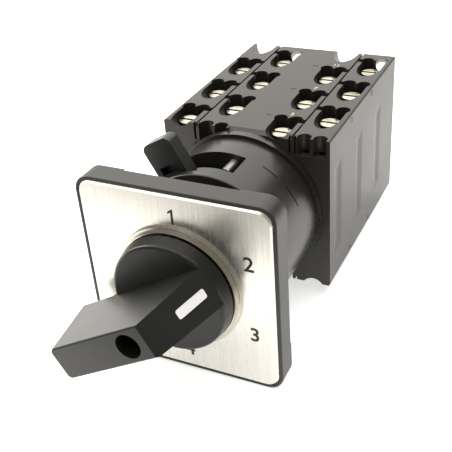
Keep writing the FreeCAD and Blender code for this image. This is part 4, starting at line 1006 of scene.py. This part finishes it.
@dataclass
class Studio:
    """Set the camera, the floor and the soft lights."""

    focal_pixels: float = 796.33
    frame_pixels: int = 452
    sensor: float = 36.0
    nearest: float = 0.005
    farthest: float = 20.0
    eye: tuple[float, float, float] = (0.076837, -0.127162, 0.104540)
    turn: tuple[float, float, float] = (1.008092, 0.069059, 0.441306)
    floor: float = -24.0 * MM
    floor_half: float = 3.0
    floor_roughness: float = 0.85
    floor_gloss: float = 0.1
    sheet_start: float = -0.038
    sheet_end: float = -0.070
    sheet_turn: float = math.radians(10.0)
    sheet_whites: tuple[float, float] = (0.93, 0.95)
    sheet_cloud: float = 6.0
    table: float = 0.30
    # Emission strength of the sheet: a painted glow that washes out the shadows on the floor.
    glow: float = 0.62
    room_colour: Colour = (1.0, 0.985, 0.945, 1.0)
    room_strength: float = 0.42
    light_colour: tuple[float, float, float] = (1.0, 0.975, 0.91)
    sky_from: tuple[float, float, float] = (-0.28, 0.30, 0.91)
    sky_spread: float = math.radians(110.0)
    sky_power: float = 4.0
    lamp_place: tuple[float, float, float] = (-0.45, 0.10, 0.22)
    lamp_side: float = 0.30
    lamp_power: float = 2.4

    def camera(self) -> None:
        """Make the camera at the photograph's viewpoint."""
        data = bpy.data.cameras.new("view")
        data.sensor_fit = "HORIZONTAL"
        data.sensor_width = self.sensor
        data.lens = self.focal_pixels * self.sensor / self.frame_pixels
        data.clip_start = self.nearest
        data.clip_end = self.farthest
        made = bpy.data.objects.new("view", data)
        made.location = self.eye
        made.rotation_euler = Euler(self.turn, "XYZ")
        bpy.context.scene.collection.objects.link(made)
        bpy.context.scene.camera = made

    def floor_finish(self) -> bpy.types.Material:
        """Make the floor's finish: a white sheet on a grey table, with a painted glow on the sheet
        that lifts the shadows on it.

        Returns:
            The material.
        """
        made, pad, shader = start_material("pale_floor")
        place = pad.put("TexCoord").outputs["Object"]
        across = pad.put("VectorMath", operation="DOT_PRODUCT")
        pad.join(place, across.inputs[0])
        across.inputs[1].default_value = (
            -math.sin(self.sheet_turn), math.cos(self.sheet_turn), 0.0)
        sheet = pad.ramp(across.outputs["Value"], self.sheet_end, self.sheet_start)
        cloud = pad.ramp(pad.noise(place, self.sheet_cloud, 2.0), 0.3, 0.7)
        white = pad.blend(cloud, *[grey(level) for level in self.sheet_whites])
        pad.join(pad.blend(sheet, grey(self.table), white), shader.inputs["Base Color"])
        # Painted glow: the sheet emits light so that the shadows cast on it fade towards white.
        pad.join(pad.blend(sheet, grey(0.0), grey(1.0)), shader.inputs["Emission Color"])
        shader.inputs["Emission Strength"].default_value = self.glow
        shader.inputs["Roughness"].default_value = self.floor_roughness
        shader.inputs["Specular IOR Level"].default_value = self.floor_gloss
        return made

    def ground(self) -> None:
        """Make the floor under the switch."""
        mesh = bmesh.new()
        bmesh.ops.create_grid(mesh, x_segments=2, y_segments=2, size=self.floor_half)
        bmesh.ops.translate(mesh, vec=(0.0, 0.0, self.floor), verts=mesh.verts)
        data = bpy.data.meshes.new("floor")
        mesh.to_mesh(data)
        mesh.free()
        data.materials.append(self.floor_finish())
        floor = bpy.data.objects.new("floor", data)
        bpy.context.scene.collection.objects.link(floor)

    def hang(self, data: bpy.types.Light, place: Vector, facing: Vector) -> None:
        """Hang a light in the scene.

        Args:
            data: The light.
            place: Where it hangs, in metres.
            facing: The direction that it shines in.
        """
        data.color = self.light_colour
        made = bpy.data.objects.new(data.name, data)
        made.location = place
        made.rotation_euler = facing.to_track_quat("-Z", "Y").to_euler()
        bpy.context.scene.collection.objects.link(made)

    def sky(self) -> None:
        """Make the very soft light of a bright room."""
        data = bpy.data.lights.new("broad_sky", "SUN")
        data.angle = self.sky_spread
        data.energy = self.sky_power
        self.hang(data, Vector(), -Vector(self.sky_from))

    def lamp(self) -> None:
        """Make the soft square lamp on the left, which shines on the origin."""
        data = bpy.data.lights.new("from_left", "AREA")
        data.size = self.lamp_side
        data.energy = self.lamp_power
        self.hang(data, Vector(self.lamp_place), -Vector(self.lamp_place))

    def build(self) -> None:
        """Build the whole studio."""
        self.camera()
        self.ground()
        world = bpy.data.worlds.new("studio")
        world.use_nodes = True
        back = world.node_tree.nodes["Background"]
        back.inputs["Color"].default_value = self.room_colour
        back.inputs["Strength"].default_value = self.room_strength
        bpy.context.scene.world = world
        self.sky()
        self.lamp()
        bpy.context.scene.view_settings.view_transform = "Standard"


def main() -> None:
    """Load the frame, dress each assembly in order and set the studio."""
    logging.basicConfig(level=logging.INFO)
    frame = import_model()
    Studio().build()
    shop = Workshop(frame["nodes"], FinishBook().make(SurfaceEffects()))
    assemblies = (FrontPlate(), LeverHandle(), Adapter(), ContactBlock())
    bare = set(shop.cad).difference(*[assembly.nodes for assembly in assemblies])
    if bare:
        raise ValueError(f"no finish for {sorted(bare)}")
    for assembly in assemblies:
        assembly.dress(shop)
    for assembly in assemblies:
        assembly.build(shop)


if __name__ == "__main__":
    main()
